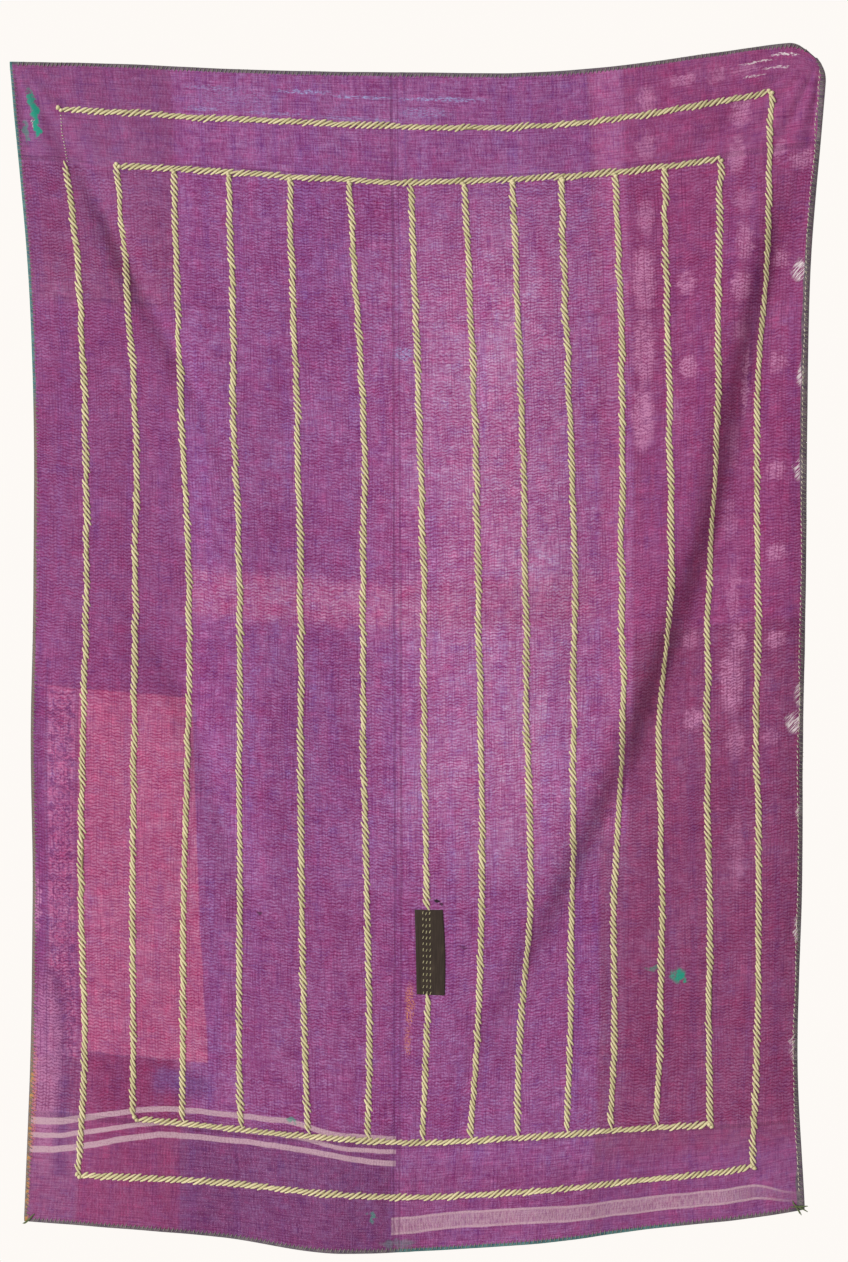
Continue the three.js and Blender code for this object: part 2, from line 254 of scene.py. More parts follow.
def rows_of_stitches(s, t):
    """Which row of stitches a place is on, how far along the row, counted in stitches, and
    how hard the stitches draw the cloth in there.

    The rows run across the middle of the quilt, and up and down its top and foot."""
    wander = 0.9 * rumple(s, t, 70, 110, 11) + 0.35 * rumple(s, t, 24, 60, 12)
    wander = wander + 0.3 * rumple(s, t, 15, 26, 13)
    level_row = t / ROW_PITCH + wander
    level_step = s / STITCH_PITCH + 0.7 * rumple(s, t, 160, 90, 18)
    wander = 0.9 * rumple(s, t, 110, 70, 14) + 0.35 * rumple(s, t, 60, 24, 15)
    wander = wander + 0.3 * rumple(s, t, 26, 15, 20)
    upright_row = s / ROW_PITCH + wander
    upright_step = t / STITCH_PITCH + 0.7 * rumple(s, t, 90, 160, 19)
    in_band = (t < INNER_TOP) | (t > INNER_FOOT)
    from_side = np.minimum(s, FLAT_WIDTH - s)
    from_end = np.minimum(t, FLAT_LENGTH - t)
    mitre = ease((from_side - from_end) / 40 + 0.5)
    turn = ease(np.abs(t - INNER_TOP) / 8) * ease(np.abs(t - INNER_FOOT) / 8)
    draw = 0.85 + 0.25 * rumple(s, t, 90, 70, 16) + 0.3 * rumple(s, t, 26, 20, 17)
    draw = np.clip(draw, 0.2, 1) * turn * np.where(in_band, 0.4 * mitre, 1)
    row = np.where(in_band, upright_row, level_row)
    step = np.where(in_band, upright_step, level_step)
    return row, step, draw


def pucker(s, t):
    """How high the cloth puckers up, from -1 in a furrow to 1 on a crest."""
    row, _, draw = rows_of_stitches(s, t)
    return (2 * np.abs(np.sin(np.pi * row)) - 1) * draw


def unevenness(s, t):
    """The small lumps of a hand-quilted cloth, which the embroidery draws in."""
    across = np.interp(s, FLAT_ACROSS, np.arange(len(UPRIGHTS)))
    billow = 0.9 * np.sin(np.pi * (across % 1)) ** 2
    lumps = 1.8 * rumple(s, t, 130, 180, 21) + 0.8 * rumple(s, t, 50, 60, 22)
    return billow + lumps


def cloth_points(s, t, outward):
    """Points on the hanging cloth, a little out from the middle of its thickness."""
    x, z = hung_place(s, t)
    middle = np.stack([x, drape(x, z), z], 1)
    return (middle + face_normal(x, z) * np.reshape(outward, (-1, 1))) * MM


def face_offset(s, t):
    return CLOTH_THICKNESS / 2 + unevenness(s, t) + PUCKER_RISE * pucker(s, t)


def back_offset(s, t):
    return -CLOTH_THICKNESS / 2 + unevenness(s, t) + 0.6 * PUCKER_RISE * pucker(s, t)


# ---- Making meshes ---------------------------------------------------------------------


def smooth_mesh(name, points, faces):
    mesh = bpy.data.meshes.new(name)
    mesh.from_pydata(points, [], faces)
    mesh.polygons.foreach_set("use_smooth", [True] * len(faces))
    return mesh


def keep(mesh, name, values):
    """Keeps one value with each point of a mesh, for its finish to read."""
    attribute = mesh.attributes.new(name, "FLOAT", "POINT")
    attribute.data.foreach_set("value", np.asarray(values, np.float32))


def lay_flat(mesh, flat):
    """Keeps the flat place of each point of a mesh, in metres, as its UV map."""
    corners = np.zeros(len(mesh.loops), int)
    mesh.loops.foreach_get("vertex_index", corners)
    cloth = mesh.uv_layers.new(name="cloth")
    cloth.uv.foreach_set("vector", (flat[corners] * MM).astype(np.float32).ravel())


class Sheeting:
    """Collects rectangles and strips of cloth into one mesh, with their flat places."""

    def __init__(self):
        self.points = []
        self.flat = []
        self.faces = []
        self.kinds = []
        self.count = 0

    def add_points(self, s, t, points):
        self.points.append(points)
        self.flat.append(np.stack([s, t], 1))
        numbers = self.count + np.arange(s.size)
        self.count += s.size
        return numbers

    def rectangle(self, s_steps, t_steps, offset, kind):
        """Rows of cloth from the top down. Gives the number of each point."""
        t, s = np.meshgrid(t_steps, s_steps, indexing="ij")
        s = s.ravel()
        t = t.ravel()
        numbers = self.add_points(s, t, cloth_points(s, t, offset(s, t)))
        numbers = numbers.reshape(len(t_steps), len(s_steps))
        corners = [numbers[:-1, :-1], numbers[1:, :-1], numbers[1:, 1:], numbers[:-1, 1:]]
        if kind == BACK:
            corners.reverse()
        self.faces += np.stack([corner.ravel() for corner in corners], 1).tolist()
        self.kinds += [kind] * corners[0].size
        return numbers

    def strip(self, first, second, first_places, second_places, kind):
        """Triangles between two lines of points that run side by side. It faces whoever
        sees the first line to the left of the second on the way along them."""
        i = 0
        j = 0
        while i + 1 < len(first) or j + 1 < len(second):
            along_first = j + 1 == len(second)
            if i + 1 < len(first) and not along_first:
                along_first = first_places[i + 1] <= second_places[j + 1]
            if along_first:
                self.faces.append([int(first[i]), int(second[j]), int(first[i + 1])])
                i += 1
            else:
                self.faces.append([int(first[i]), int(second[j]), int(second[j + 1])])
                j += 1
            self.kinds.append(kind)

    def mesh(self, name):
        mesh = smooth_mesh(name, np.concatenate(self.points).tolist(), self.faces)
        flat = np.concatenate(self.flat)
        at_seam = flat[:, 0] == SEAM
        joined = [all(at_seam[point] for point in face) for face in self.faces]
        kinds = [FACE if inner else kind for inner, kind in zip(joined, self.kinds)]
        mesh.polygons.foreach_set("material_index", kinds)
        ends = np.zeros(2 * len(mesh.edges), int)
        mesh.edges.foreach_get("vertices", ends)
        sharp = at_seam[ends].reshape(-1, 2).all(axis=1)
        mesh.attributes.new("sharp_edge", "BOOLEAN", "EDGE").data.foreach_set("value", sharp)
        lay_flat(mesh, flat)
        for kind, values in zip(("row", "step", "draw"), rows_of_stitches(*flat.T)):
            keep(mesh, kind, values)
        return mesh


def place(data, name):
    piece = bpy.data.objects.new(name, data)
    bpy.context.scene.collection.objects.link(piece)
    return piece


def around(left, foot, right, top, s_steps, t_steps):
    """The outline of a width of cloth, down the left side, along the foot, up the right side
    and back along the top: each point's number and flat place, and how far round it is."""
    down, along = t_steps - t_steps[0], s_steps - s_steps[0]
    length, width = down[-1], along[-1]
    side = np.ones(t_steps.size - 1)
    numbers = [left[:-1], foot[:-1], right[:0:-1], top[::-1]]
    s = [side * s_steps[0], s_steps[:-1], side * s_steps[-1], s_steps[::-1]]
    t = [t_steps[:-1], 0 * s_steps[1:] + t_steps[-1], t_steps[:0:-1], 0 * s_steps + t_steps[0]]
    gone = [
        down[:-1],
        length + along[:-1],
        length + width + (length - down[:0:-1]),
        2 * length + width + (width - along[::-1]),
    ]
    return [np.concatenate(parts) for parts in (numbers, s, t, gone)]


# How finely each width is divided: the columns of its field, how many finer ones its bands
# have for each of those, and the height of a row in the field, in the bands and on the back.
COLUMNS = 70
FINE_COLUMNS = 5
FIELD_ROW = 2.0
BAND_ROW = 10
BACK_COLUMNS = 54
BACK_ROW = 14
RIM_ROUND = 1.4
FACE, BACK, EDGE = 0, 1, 2


def quilt_half(name, left, right):
    """One of the two widths of cloth that meet at the middle seam, face and back."""
    sheeting = Sheeting()
    top, foot = INNER_TOP, INNER_FOOT
    coarse = np.linspace(left, right, COLUMNS + 1)
    fine = np.linspace(left, right, COLUMNS * FINE_COLUMNS + 1)
    field_rows = np.linspace(top, foot, round((foot - top) / FIELD_ROW) + 1)
    top_rows = np.linspace(0, top, round(top / BAND_ROW) + 1)[:-1]
    foot_rows = np.linspace(foot, FLAT_LENGTH, round((FLAT_LENGTH - foot) / BAND_ROW) + 1)[1:]
    upper = sheeting.rectangle(fine, top_rows, face_offset, FACE)
    field = sheeting.rectangle(coarse, field_rows, face_offset, FACE)
    lower = sheeting.rectangle(fine, foot_rows, face_offset, FACE)
    sheeting.strip(upper[-1], field[0], fine, coarse, FACE)
    sheeting.strip(field[-1], lower[0], coarse, fine, FACE)
    back_s = np.linspace(left, right, BACK_COLUMNS + 1)
    back_t = np.linspace(0, FLAT_LENGTH, round(FLAT_LENGTH / BACK_ROW) + 1)
    back = sheeting.rectangle(back_s, back_t, back_offset, BACK)
    front_rows = [top_rows, field_rows, foot_rows]
    close_rim(sheeting, [upper, field, lower], fine, front_rows, back, back_s, back_t)
    return place(sheeting.mesh(name), name)


def close_rim(sheeting, fronts, fine, front_rows, back, back_s, back_t):
    """The rounded edge that joins the face and the back all the way round."""
    left_side = np.concatenate([front[:, 0] for front in fronts])
    right_side = np.concatenate([front[:, -1] for front in fronts])
    front_t = np.concatenate(front_rows)
    front_sides = left_side, fronts[-1][-1], right_side, fronts[0][0]
    front_loop, s, t, places = around(*front_sides, fine, front_t)
    back_sides = back[:, 0], back[-1], back[:, -1], back[0]
    back_loop, _, _, back_places = around(*back_sides, back_s, back_t)
    sideways = (s == FLAT_WIDTH) * 1.0 - (s == 0)
    upward = (t == 0) * 1.0 - (t == FLAT_LENGTH)
    outward = np.stack([sideways, 0 * s, upward], 1)
    outward /= np.maximum(1, np.linalg.norm(outward, axis=1, keepdims=True))
    middle = (face_offset(s, t) + back_offset(s, t)) / 2
    rim_points = cloth_points(s, t, middle) + outward * RIM_ROUND * MM
    rim = sheeting.add_points(s[:-1], t[:-1], rim_points[:-1])
    rim = np.append(rim, rim[0])
    sheeting.strip(front_loop, rim, places, places, EDGE)
    sheeting.strip(rim, back_loop, places, back_places, EDGE)


# ---- Finishes ---------------------------------------------------------------------------

# The cloth's own colours are this share of how bright they look in the room's light.
LIGHT_SHARE = 0.70


def dye(red, green, blue):
    """A colour as it looks in the room, from 0 to 255, turned into the cloth's own colour."""
    seen = [((part / 255 + 0.055) / 1.055) ** 2.4 for part in (red, green, blue)]
    return (*[LIGHT_SHARE * part for part in seen], 1)


def add_node(tree, kind, inputs, settings):
    """A node with its settings chosen, and its inputs set to values or linked to sockets."""
    made = tree.nodes.new(kind)
    for setting, choice in settings.items():
        setattr(made, setting, choice)
    for key, given in inputs.items():
        if isinstance(given, bpy.types.NodeSocket):
            tree.links.new(given, made.inputs[key])
        else:
            made.inputs[key].default_value = given
    return made


class Value:
    """A number or a place inside a finish. Arithmetic on it adds maths nodes."""

    def __init__(self, finish, socket):
        self.finish = finish
        self.socket = socket

    def __add__(self, other):
        return self.finish.maths("ADD", self, other)

    def __sub__(self, other):
        return self.finish.maths("SUBTRACT", self, other)

    def __mul__(self, other):
        return self.finish.maths("MULTIPLY", self, other)

    def __truediv__(self, other):
        return self.finish.maths("DIVIDE", self, other)

    def __rsub__(self, other):
        return self.finish.maths("SUBTRACT", other, self)

    def __rtruediv__(self, other):
        return self.finish.maths("DIVIDE", other, self)

    def __abs__(self):
        return self.finish.maths("ABSOLUTE", self)

    __radd__ = __add__
    __rmul__ = __mul__


class Finish:
    """A material, put together from values and colours."""

    def __init__(self, name, roughness=0.92, sheen=0.0):
        self.material = bpy.data.materials.new(name)
        self.material.use_nodes = True
        self.tree = self.material.node_tree
        self.shader = self.tree.nodes["Principled BSDF"]
        self.shader.inputs["Roughness"].default_value = roughness
        self.shader.inputs["Specular IOR Level"].default_value = 0.2
        self.shader.inputs["Sheen Weight"].default_value = sheen

    def node(self, kind, inputs, output=0, **settings):
        inputs = {key: getattr(given, "socket", given) for key, given in inputs.items()}
        return Value(self, add_node(self.tree, kind, inputs, settings).outputs[output])

    def maths(self, operation, *terms):
        return self.node("ShaderNodeMath", dict(enumerate(terms)), operation=operation)

    def most(self, first, second):
        return self.maths("MAXIMUM", first, second)

    def fraction(self, value):
        return self.maths("FRACT", value)

    def slope(self, value, start, end, low=0.0, high=1.0):
        """Low below the start, high above the end and a smooth climb between."""
        inputs = {0: value, 1: start, 2: end, 3: low, 4: high}
        return self.node("ShaderNodeMapRange", inputs, interpolation_type="SMOOTHSTEP")

    def inside(self, value, start, end, soft):
        """1 between the start and the end, with soft edges."""
        risen = self.slope(value, start - soft, start + soft)
        return risen * self.slope(value, end + soft, end - soft)

    def mix(self, share, first, second, how="MIX"):
        inputs = {0: share, 6: first, 7: second}
        return self.node("ShaderNodeMix", inputs, output=2, data_type="RGBA", blend_type=how)

    def attribute(self, name):
        return self.node("ShaderNodeAttribute", {}, output="Fac", attribute_name=name)

    def flat_place(self):
        """The place on the flat cloth, s and t in millimetres."""
        place_uv = self.node("ShaderNodeUVMap", {}, uv_map="cloth")
        s = self.node("ShaderNodeSeparateXYZ", {0: place_uv}, output=0) / MM
        t = self.node("ShaderNodeSeparateXYZ", {0: place_uv}, output=1) / MM
        return s, t

    def at(self, x, y, z=0.0):
        return self.node("ShaderNodeCombineXYZ", {0: x, 1: y, 2: z})

    def noise(self, where, detail=2.0, rough=0.5):
        """Soft lumps about one unit across, from 0 to 1, with finer ones as rough as given."""
        inputs = {"Vector": where, "Scale": 1.0, "Detail": detail, "Roughness": rough}
        return self.node("ShaderNodeTexNoise", inputs)

    def chance(self, where):
        """A number from 0 to 1 that is different for every different place."""
        return self.node("ShaderNodeTexWhiteNoise", {"Vector": where})

    def spots(self, where, table):
        """The strongest of the soft round spots in a table."""
        strongest = 0.0
        for s, t, wide, tall, strength in table:
            scale = (1 / wide, 1 / tall, 0)
            moved = self.node(
                "ShaderNodeVectorMath",
                {0: where, 1: scale, 2: (-s / wide, -t / tall, 0)},
                operation="MULTIPLY_ADD",
            )
            away = self.node("ShaderNodeVectorMath", {0: moved}, output="Value", operation="LENGTH")
            mask = self.slope(away, 1.2, 0.55, 0.0, strength)
            strongest = self.most(strongest, mask)
        return strongest

    def finish(self, colour, height=None):
        self.tree.links.new(colour.socket, self.shader.inputs["Base Color"])
        if height is not None:
            inputs = {"Height": height, "Distance": MM, "Strength": 1.0}
            bump = self.node("ShaderNodeBump", inputs)
            self.tree.links.new(bump.socket, self.shader.inputs["Normal"])
        return self


# A soft round spot: the place of its middle, how far it reaches each way, and how strong it is.
Spot = namedtuple("Spot", "s t wide tall strength")

# A piece of old sari: between which places on the flat cloth it shows, how soft its sides are,
# its dye, and how far its sides move across for each millimetre down.
Panel = namedtuple("Panel", "name s t soft dye lean", defaults=[0])

# The old saris that show on the face, each laid over the ones before it.
PANELS = [
    Panel("pale left", (-20, 404), (478, 1236), 14, (142, 72, 125)),
    Panel("blue middle", (311, 1122), (-20, 2300), 8, (147, 80, 137), 0.008),
    # Paler in the middle: worn dye, and painted light where the cloth bellies forward.
    Panel("worn and lit middle", (760, 1080), (300, 1500), 170, (182, 113, 164)),
    Panel("dark foot", (300, 724), (2050, 2320), 30, (120, 61, 110)),
    Panel("low left", (330, 700), (1560, 2050), 90, (146, 78, 133)),
    Panel("rosy band", (300, 1117), (984, 1073), 16, (173, 100, 148)),
    Panel("pink end", (1122, 1184), (-20, 1500), 22, (170, 93, 147)),
    Panel("plum right", (1182, 1600), (-20, 1108), 6, (150, 70, 122)),
    Panel("lower right", (1182, 1600), (1106, 2320), 6, (141, 69, 114)),
    Panel("foot border", (724, 1600), (2120, 2320), 26, (141, 72, 125)),
    Panel("rose patch", (20, 328), (1236, 1946), 2.5, (174, 90, 133), 0.06),
    Panel("print ground", (29, 89), (1238, 1960), 3, (170, 93, 140)),
    Panel("left margin", (-20, 27), (1236, 1966), 4, (136, 66, 122)),
    Panel("red corner", (102, 298), (1948, 2320), 3, (140, 63, 109)),
    Panel("blue notch", (246, 352), (1966, 2012), 17, (120, 68, 124)),
    Panel("plum fold", (44, 70), (1800, 2170), 12, (122, 64, 114), 0.05),
    Panel("left border line", (27, 33), (1180, 1960), 5, (122, 62, 116)),
    Panel("right border line", (87, 92), (1236, 1960), 5, (136, 66, 116)),
]

# The saris that show on the back.
BACK_PANELS = [
    Panel("left cloth", (-20, 505), (-20, 2320), 5, (146, 76, 126)),
    Panel("right cloth", (1010, 1600), (-20, 1420), 5, (134, 68, 118)),
    Panel("foot cloth", (1010, 1600), (1418, 2320), 5, (150, 80, 122)),
    Panel("mend", (1120, 1380), (1700, 2010), 3, (170, 92, 132)),
]

# Places where the dye has worn off a printed motif.
FADED = [
    Spot(1222, 75, 17, 26, 0.5),
    Spot(1218, 165, 18, 30, 0.4),
    Spot(1214, 300, 18, 40, 0.45),
    Spot(1206, 420, 24, 70, 0.65),
    Spot(1204, 560, 22, 76, 0.6),
    Spot(1200, 690, 22, 68, 0.65),
    Spot(1262, 690, 14, 30, 0.25),
    Spot(1285, 45, 24, 13, 0.55),
    Spot(1340, 48, 15, 20, 0.4),
    Spot(1392, 44, 30, 12, 0.45),
    Spot(1385, 128, 20, 30, 0.55),
    Spot(1378, 205, 18, 36, 0.5),
    Spot(1392, 290, 22, 24, 0.35),
    Spot(1396, 372, 18, 40, 0.55),
    Spot(1390, 455, 22, 32, 0.6),
    Spot(1393, 540, 18, 24, 0.35),
    Spot(1410, 640, 8, 70, 0.6),
    Spot(1388, 760, 14, 50, 0.2),
    Spot(1385, 900, 16, 50, 0.3),
    Spot(1395, 1050, 12, 60, 0.35),
    Spot(1405, 1135, 16, 30, 0.55),
    Spot(1392, 1215, 22, 70, 0.65),
    Spot(1400, 1330, 20, 40, 0.4),
    Spot(1400, 1550, 14, 90, 0.25),
    Spot(1286, 436, 21, 21, 0.6),
    Spot(1289, 600, 21, 24, 0.6),
    Spot(1308, 1128, 22, 18, 0.45),
    Spot(1319, 1284, 21, 21, 0.6),
    Spot(1455, 205, 13, 16, 0.45),
    Spot(1496, 225, 22, 20, 0.55),
    Spot(1468, 410, 17, 22, 0.65),
    Spot(1472, 610, 17, 20, 0.55),
    Spot(1473, 820, 18, 18, 0.6),
    Spot(1472, 976, 19, 18, 0.6),
    Spot(1472, 1145, 19, 18, 0.65),
    Spot(1462, 1330, 19, 18, 0.35),
    Spot(30, 1960, 34, 190, 0.4),
    Spot(8, 1660, 10, 60, 0.6),
]

# Places, nearly all at the right edge, where the top layer has worn through to white threads.
WORN_THROUGH = [
    Spot(1506, 437, 16, 22, 1),
    Spot(1515, 640, 9, 24, 0.8),
    Spot(1513, 822, 12, 22, 0.8),
    Spot(1518, 1255, 11, 26, 0.7),
    Spot(1512, 1308, 20, 22, 0.9),
    Spot(1520, 1477, 9, 20, 0.8),
    Spot(1519, 1707, 10, 26, 0.9),
    Spot(1519, 1930, 11, 30, 0.8),
    Spot(41, 136, 5, 10, 0.7),
]

# Thin broken white lines where the top layer has split near the top right corner.
SPLITS = [
    Spot(1412, 33, 34, 2.4, 0.8),
    Spot(1462, 24, 26, 2.4, 1),
    Spot(1446, 52, 24, 2.2, 0.7),
    Spot(1408, 64, 22, 2.2, 0.6),
]

# Stains, and stray threads of other colours.
TEAL_STAINS = [
    Spot(40, 86, 8, 24, 0.9),
    Spot(46, 112, 11, 18, 1),
    Spot(47, 140, 8, 26, 1),
    Spot(22, 150, 7, 24, 0.5),
    Spot(1285, 1776, 16, 14, 1),
    Spot(1237, 1759, 16, 7, 0.5),
    Spot(674, 2211, 8, 14, 0.55),
    Spot(502, 2039, 9, 6, 0.6),
    Spot(730, 2268, 40, 10, 0.3),
]
DARK_SPOTS = [
    Spot(793, 1598, 5, 4, 1),
    Spot(800, 1603, 3, 3, 0.8),
    Spot(845, 1690, 5, 4, 0.4),
    Spot(449, 1643, 6, 4, 0.7),
]
ORANGE_THREADS = [
    Spot(746, 1800, 9, 44, 0.9),
    Spot(744, 1870, 7, 34, 0.7),
    Spot(6, 2040, 8, 110, 0.8),
]
BLUE_THREADS = [
    Spot(740, 540, 24, 14, 0.8),
    Spot(385, 41, 60, 6, 0.5),
    Spot(565, 42, 66, 4.5, 0.9),
    Spot(675, 49, 50, 4, 1),
    Spot(835, 51, 100, 4, 1),
    Spot(360, 86, 40, 6, 0.6),
    Spot(505, 89, 62, 4.5, 0.6),
    Spot(660, 93, 110, 4.5, 0.5),
    Spot(800, 78, 70, 12, 0.45),
    Spot(430, 62, 100, 26, 0.22),
]

# Level creases from storage: how far down each is, and from where to where it runs.
CREASES = [
    {"at": 472, "s": (60, 690)},
    {"at": 480, "s": (800, 1240)},
]

# The pale woven stripes of a sari border, left of the seam. Each starts at a depth at the
# left edge, rises by the dip, and sinks again from one place to another by so much.
LEFT_STRIPES = [
    {"at": 2086, "dip": 44, "sinks": (480, 600, 20), "half": 5.4},
    {"at": 2108, "dip": 38, "sinks": (480, 620, 16), "half": 4.0},
    {"at": 2130, "dip": 40, "sinks": (430, 720, 17), "half": 5.0},
]


def dyed_panels(finish, s, t, panels, top, foot):
    """The dyed colour of the cloth, with each panel laid over the ones before it."""
    colour = finish.mix(finish.slope(t, 150, 500), dye(*top), dye(*foot))
    stray = finish.noise(finish.at(s / 60, t / 90), 1.0)
    for panel in panels:
        middle = sum(panel.t) / 2
        across = s - (t - middle) * panel.lean + (stray - 0.5) * 7
        mask = finish.inside(across, *panel.s, panel.soft)
        mask = mask * finish.inside(t + (stray - 0.5) * 9, *panel.t, panel.soft)
        colour = finish.mix(mask, colour, dye(*panel.dye))
    return colour


# The block print down the left side of the rose patch: where it lies, and its motif's size.
PRINT_ACROSS = (34, 86)
PRINT_DOWN = (1244, 1966)
MOTIF_MIDDLE = 60
MOTIF_REACH = 23
MOTIF_PITCH = 46


def printed_border(finish, s, t):
    """A worn block print of rings and leaves, one above another."""
    inside = finish.inside(s, *PRINT_ACROSS, 2) * finish.inside(t, *PRINT_DOWN, 4)
    across = (s - MOTIF_MIDDLE) / MOTIF_REACH
    down = (finish.fraction(t / MOTIF_PITCH) - 0.5) * 2
    away = finish.maths("SQRT", across * across + down * down)
    ring = finish.inside(away, 0.62, 0.82, 0.08)
    petals = finish.maths("SINE", finish.maths("ARCTAN2", down, across) * 6)
    flower = finish.slope(away + petals * 0.09, 0.4, 0.28) * finish.slope(away, 0.1, 0.2)
    leaf = finish.slope(abs(across) - abs(down) * 1.5, 0.1, -0.15) * finish.slope(away, 0.9, 1.0)
    print_mask = finish.most(finish.most(ring, flower), leaf)
    worn = finish.slope(finish.noise(finish.at(s / 9, t / 12), 3.0), 0.3, 0.52)
    return inside * print_mask * worn


def left_stripes(finish, s, t):
    mask = 0.0
    for stripe in LEFT_STRIPES:
        start, end, drop = stripe["sinks"]
        line = finish.slope(s, 20, 300, stripe["at"], stripe["at"] - stripe["dip"])
        line = line + finish.slope(s, start, end, 0.0, drop)
        waver = (finish.noise(finish.at(s / 40, stripe["at"]), 1.0) - 0.5) * 5
        away = abs(t - line + waver)
        line = finish.slope(away, stripe["half"] + 1, stripe["half"] - 1)
        mask = finish.most(mask, line)
    return mask * finish.slope(s, SEAM - 1, SEAM - 4)


def right_stripe(finish, s, t):
    """A wide faint stripe near the foot with a brighter line along each side."""
    line = finish.slope(s, 700, 860, 2231, 2221) + finish.slope(s, 960, 1140, 0, 6)
    line = line + finish.slope(s, 1440, 1524, 0, 30)
    waver = (finish.noise(finish.at(s / 50, 3.0), 1.0) - 0.5) * 5
    away = abs(t - line + waver)
    half = finish.slope(s, 1420, 1524, 16.0, 8.5)
    lines = finish.slope(abs(away - half), 4.0, 1.6)
    drawn = finish.slope(finish.noise(finish.at(s / 2.6, t / 16, 41.0), 2.0), 0.35, 0.6, 0.45, 1.0)
    filled = finish.slope(away, half + 1, half - 1)
    filled = filled * finish.slope(s, 1380, 1500, 0.78, 0.15) * drawn
    stripe = finish.most(lines * finish.slope(s, 1440, 1516, 1.0, 0.25), filled)
    return stripe * finish.slope(s, SEAM - 13, SEAM - 9)


def storage_creases(finish, s, t):
    """Faint level creases where the quilt has lain folded; the face paints shade along them."""
    waver = (finish.noise(finish.at(s / 60, 8.0), 2.0) - 0.5) * 16
    mask = 0.0
    for crease in CREASES:
        away = abs(t - crease["at"] + waver)
        line = finish.slope(away, 4.5, 1.0) * finish.inside(s, *crease["s"], 30)
        mask = finish.most(mask, line)
    return mask


def tinted(finish, share, colour, tint):
    """The colour multiplied by a tint, over a share of it."""
    return finish.mix(share, colour, finish.mix(1.0, colour, (*tint, 1), "MULTIPLY"))


def woven_threads(finish, s, t, colour, strength):
    """The uneven dye, and the blue warp and pink weft that show in streaks and patches."""
    swathe = finish.noise(finish.at(s / 26, t / 520, 15.0), 2.0)
    colour = tinted(finish, finish.slope(swathe, 0.5, 0.68) * 0.6, colour, (0.86, 0.88, 1.04))
    colour = tinted(finish, finish.slope(swathe, 0.48, 0.32) * 0.5, colour, (1.1, 0.94, 0.98))
    upright = finish.noise(finish.at(s / 2.4, t / 60, 11.0), 1.0)
    level = finish.noise(finish.at(s / 45, t / 2.2, 12.0), 1.0)
    patchy = finish.noise(finish.at(s / 26, t / 20, 13.0), 3.0)
    warmth = upright * 0.8 + level * 0.9 + patchy * 1.3
    colour = tinted(finish, finish.slope(warmth, 1.45, 1.1) * 0.85, colour, (0.84, 1.0, 1.12))
    colour = tinted(finish, finish.slope(warmth, 1.5, 1.9) * 0.85, colour, (1.2, 0.82, 0.94))
    uneven = finish.noise(finish.at(s / 22, t / 17, 24.0), 4.0, 0.75)
    broad = finish.noise(finish.at(s / 130, t / 160, 7.0), 3.0)
    depth = uneven * 0.6 + upright * 0.6 + level * 0.8 + broad * 0.45
    tone = finish.mix(finish.slope(depth, 0.94, 1.5), (0.82, 0.46, 0.7, 1), (1.18, 1.54, 1.3, 1))
    colour = finish.mix(strength, colour, tone, "MULTIPLY")
    dark = finish.slope(upright, 0.42, 0.3)
    return tinted(finish, dark * 0.15, colour, (0.66, 0.5, 0.66))


def woven_grain(finish, s, t):
    """The fine grain of the threads, uprights and levels together, around 0.5."""
    warp = finish.noise(finish.at(s / 1.9, t / 12, 23.0), 2.0)
    weft = finish.noise(finish.at(s / 14, t / 1.7, 25.0), 2.0)
    return 0.5 + (warp - 0.5) * 0.55 + (weft - 0.5) * 0.7


def wavering_rows(finish, s, t):
    """The rows of stitches, each wavering in time with the rows above and below it."""
    row, step, draw = (finish.attribute(name) for name in ("row", "step", "draw"))
    phase = finish.noise(finish.at(s / 70, t / 34, 43.0), 1.0) * 6
    row = row + finish.maths("SINE", (step * 0.8 + phase) * math.pi) * 0.2
    return row, step, draw


def puckers(finish, row, step, draw):
    """How high the cloth puckers up between two rows, and where each stitch pulls it in."""
    crest = abs(finish.maths("SINE", row * math.pi))
    crest = 1 - (1 - crest) * draw
    beside = abs(finish.fraction(step + 0.5) - 0.5)
    column = finish.chance(finish.at(finish.maths("ROUND", step), finish.maths("FLOOR", row / 9)))
    pull = finish.slope(beside, 0.26, 0.03) * finish.slope(column, 0.15, 0.95, 0.1, 1.0)
    return crest, pull


def crests_worn_lit_and_shaded(finish, s, t, colour, relief, grain):
    """The crests are worn pale and blue and carry a painted highlight, and the furrows between
    them are painted darker and rosier as shade. Gives the colour, and how pale each place is."""
    row, step, crest, pull = relief
    lumps = finish.noise(finish.at(row * 0.9, step * 0.4, 3.0), 2.0)
    wear = finish.noise(finish.at(s / 34, t / 26, 6.0), 2.0)
    field = finish.inside(t, INNER_TOP, INNER_FOOT, 4) * 0.3 + 0.7
    # Pale on the crests: wear, and a painted highlight.
    pale = finish.slope(crest - pull * 0.3 + (lumps + grain - 1.0) * 1.05, 0.5, 1.1)
    pale = pale * finish.slope(wear, 0.25, 0.7, 0.4, 1.0) * field
    # Dark and rosy in the furrows: painted shade.
    painted_shade = finish.slope(crest + (grain - 0.5) * 0.8, 0.62, 0.08)
    painted_shade = painted_shade * finish.slope(wear, 0.7, 0.3, 0.4, 1.0) * field
    colour = tinted(finish, pale, colour, (1.28, 1.85, 1.5))
    colour = tinted(finish, painted_shade, colour, (0.76, 0.22, 0.52))
    # Darker where each stitch pulls the cloth in.
    stitched = pull * finish.slope(grain, 0.3, 0.7) * 0.6
    return tinted(finish, stitched, colour, (0.7, 0.45, 0.66)), pale


def flecks(finish, fleck, strength, colour):
    """Flecks of paler and of rosier thread."""
    paler = finish.slope(fleck, 0.62, 0.72) * strength * 0.55
    rosier = finish.slope(fleck, 0.36, 0.26) * strength * 0.45
    colour = finish.mix(paler, colour, dye(222, 158, 204))
    return finish.mix(rosier, colour, dye(172, 34, 108))


def strayed(finish, s, t, stray, across, down):
    """The place on the cloth, moved about by a stray so far across and down."""
    return finish.at(s + (stray - 0.5) * across, t + (stray - 0.5) * down)


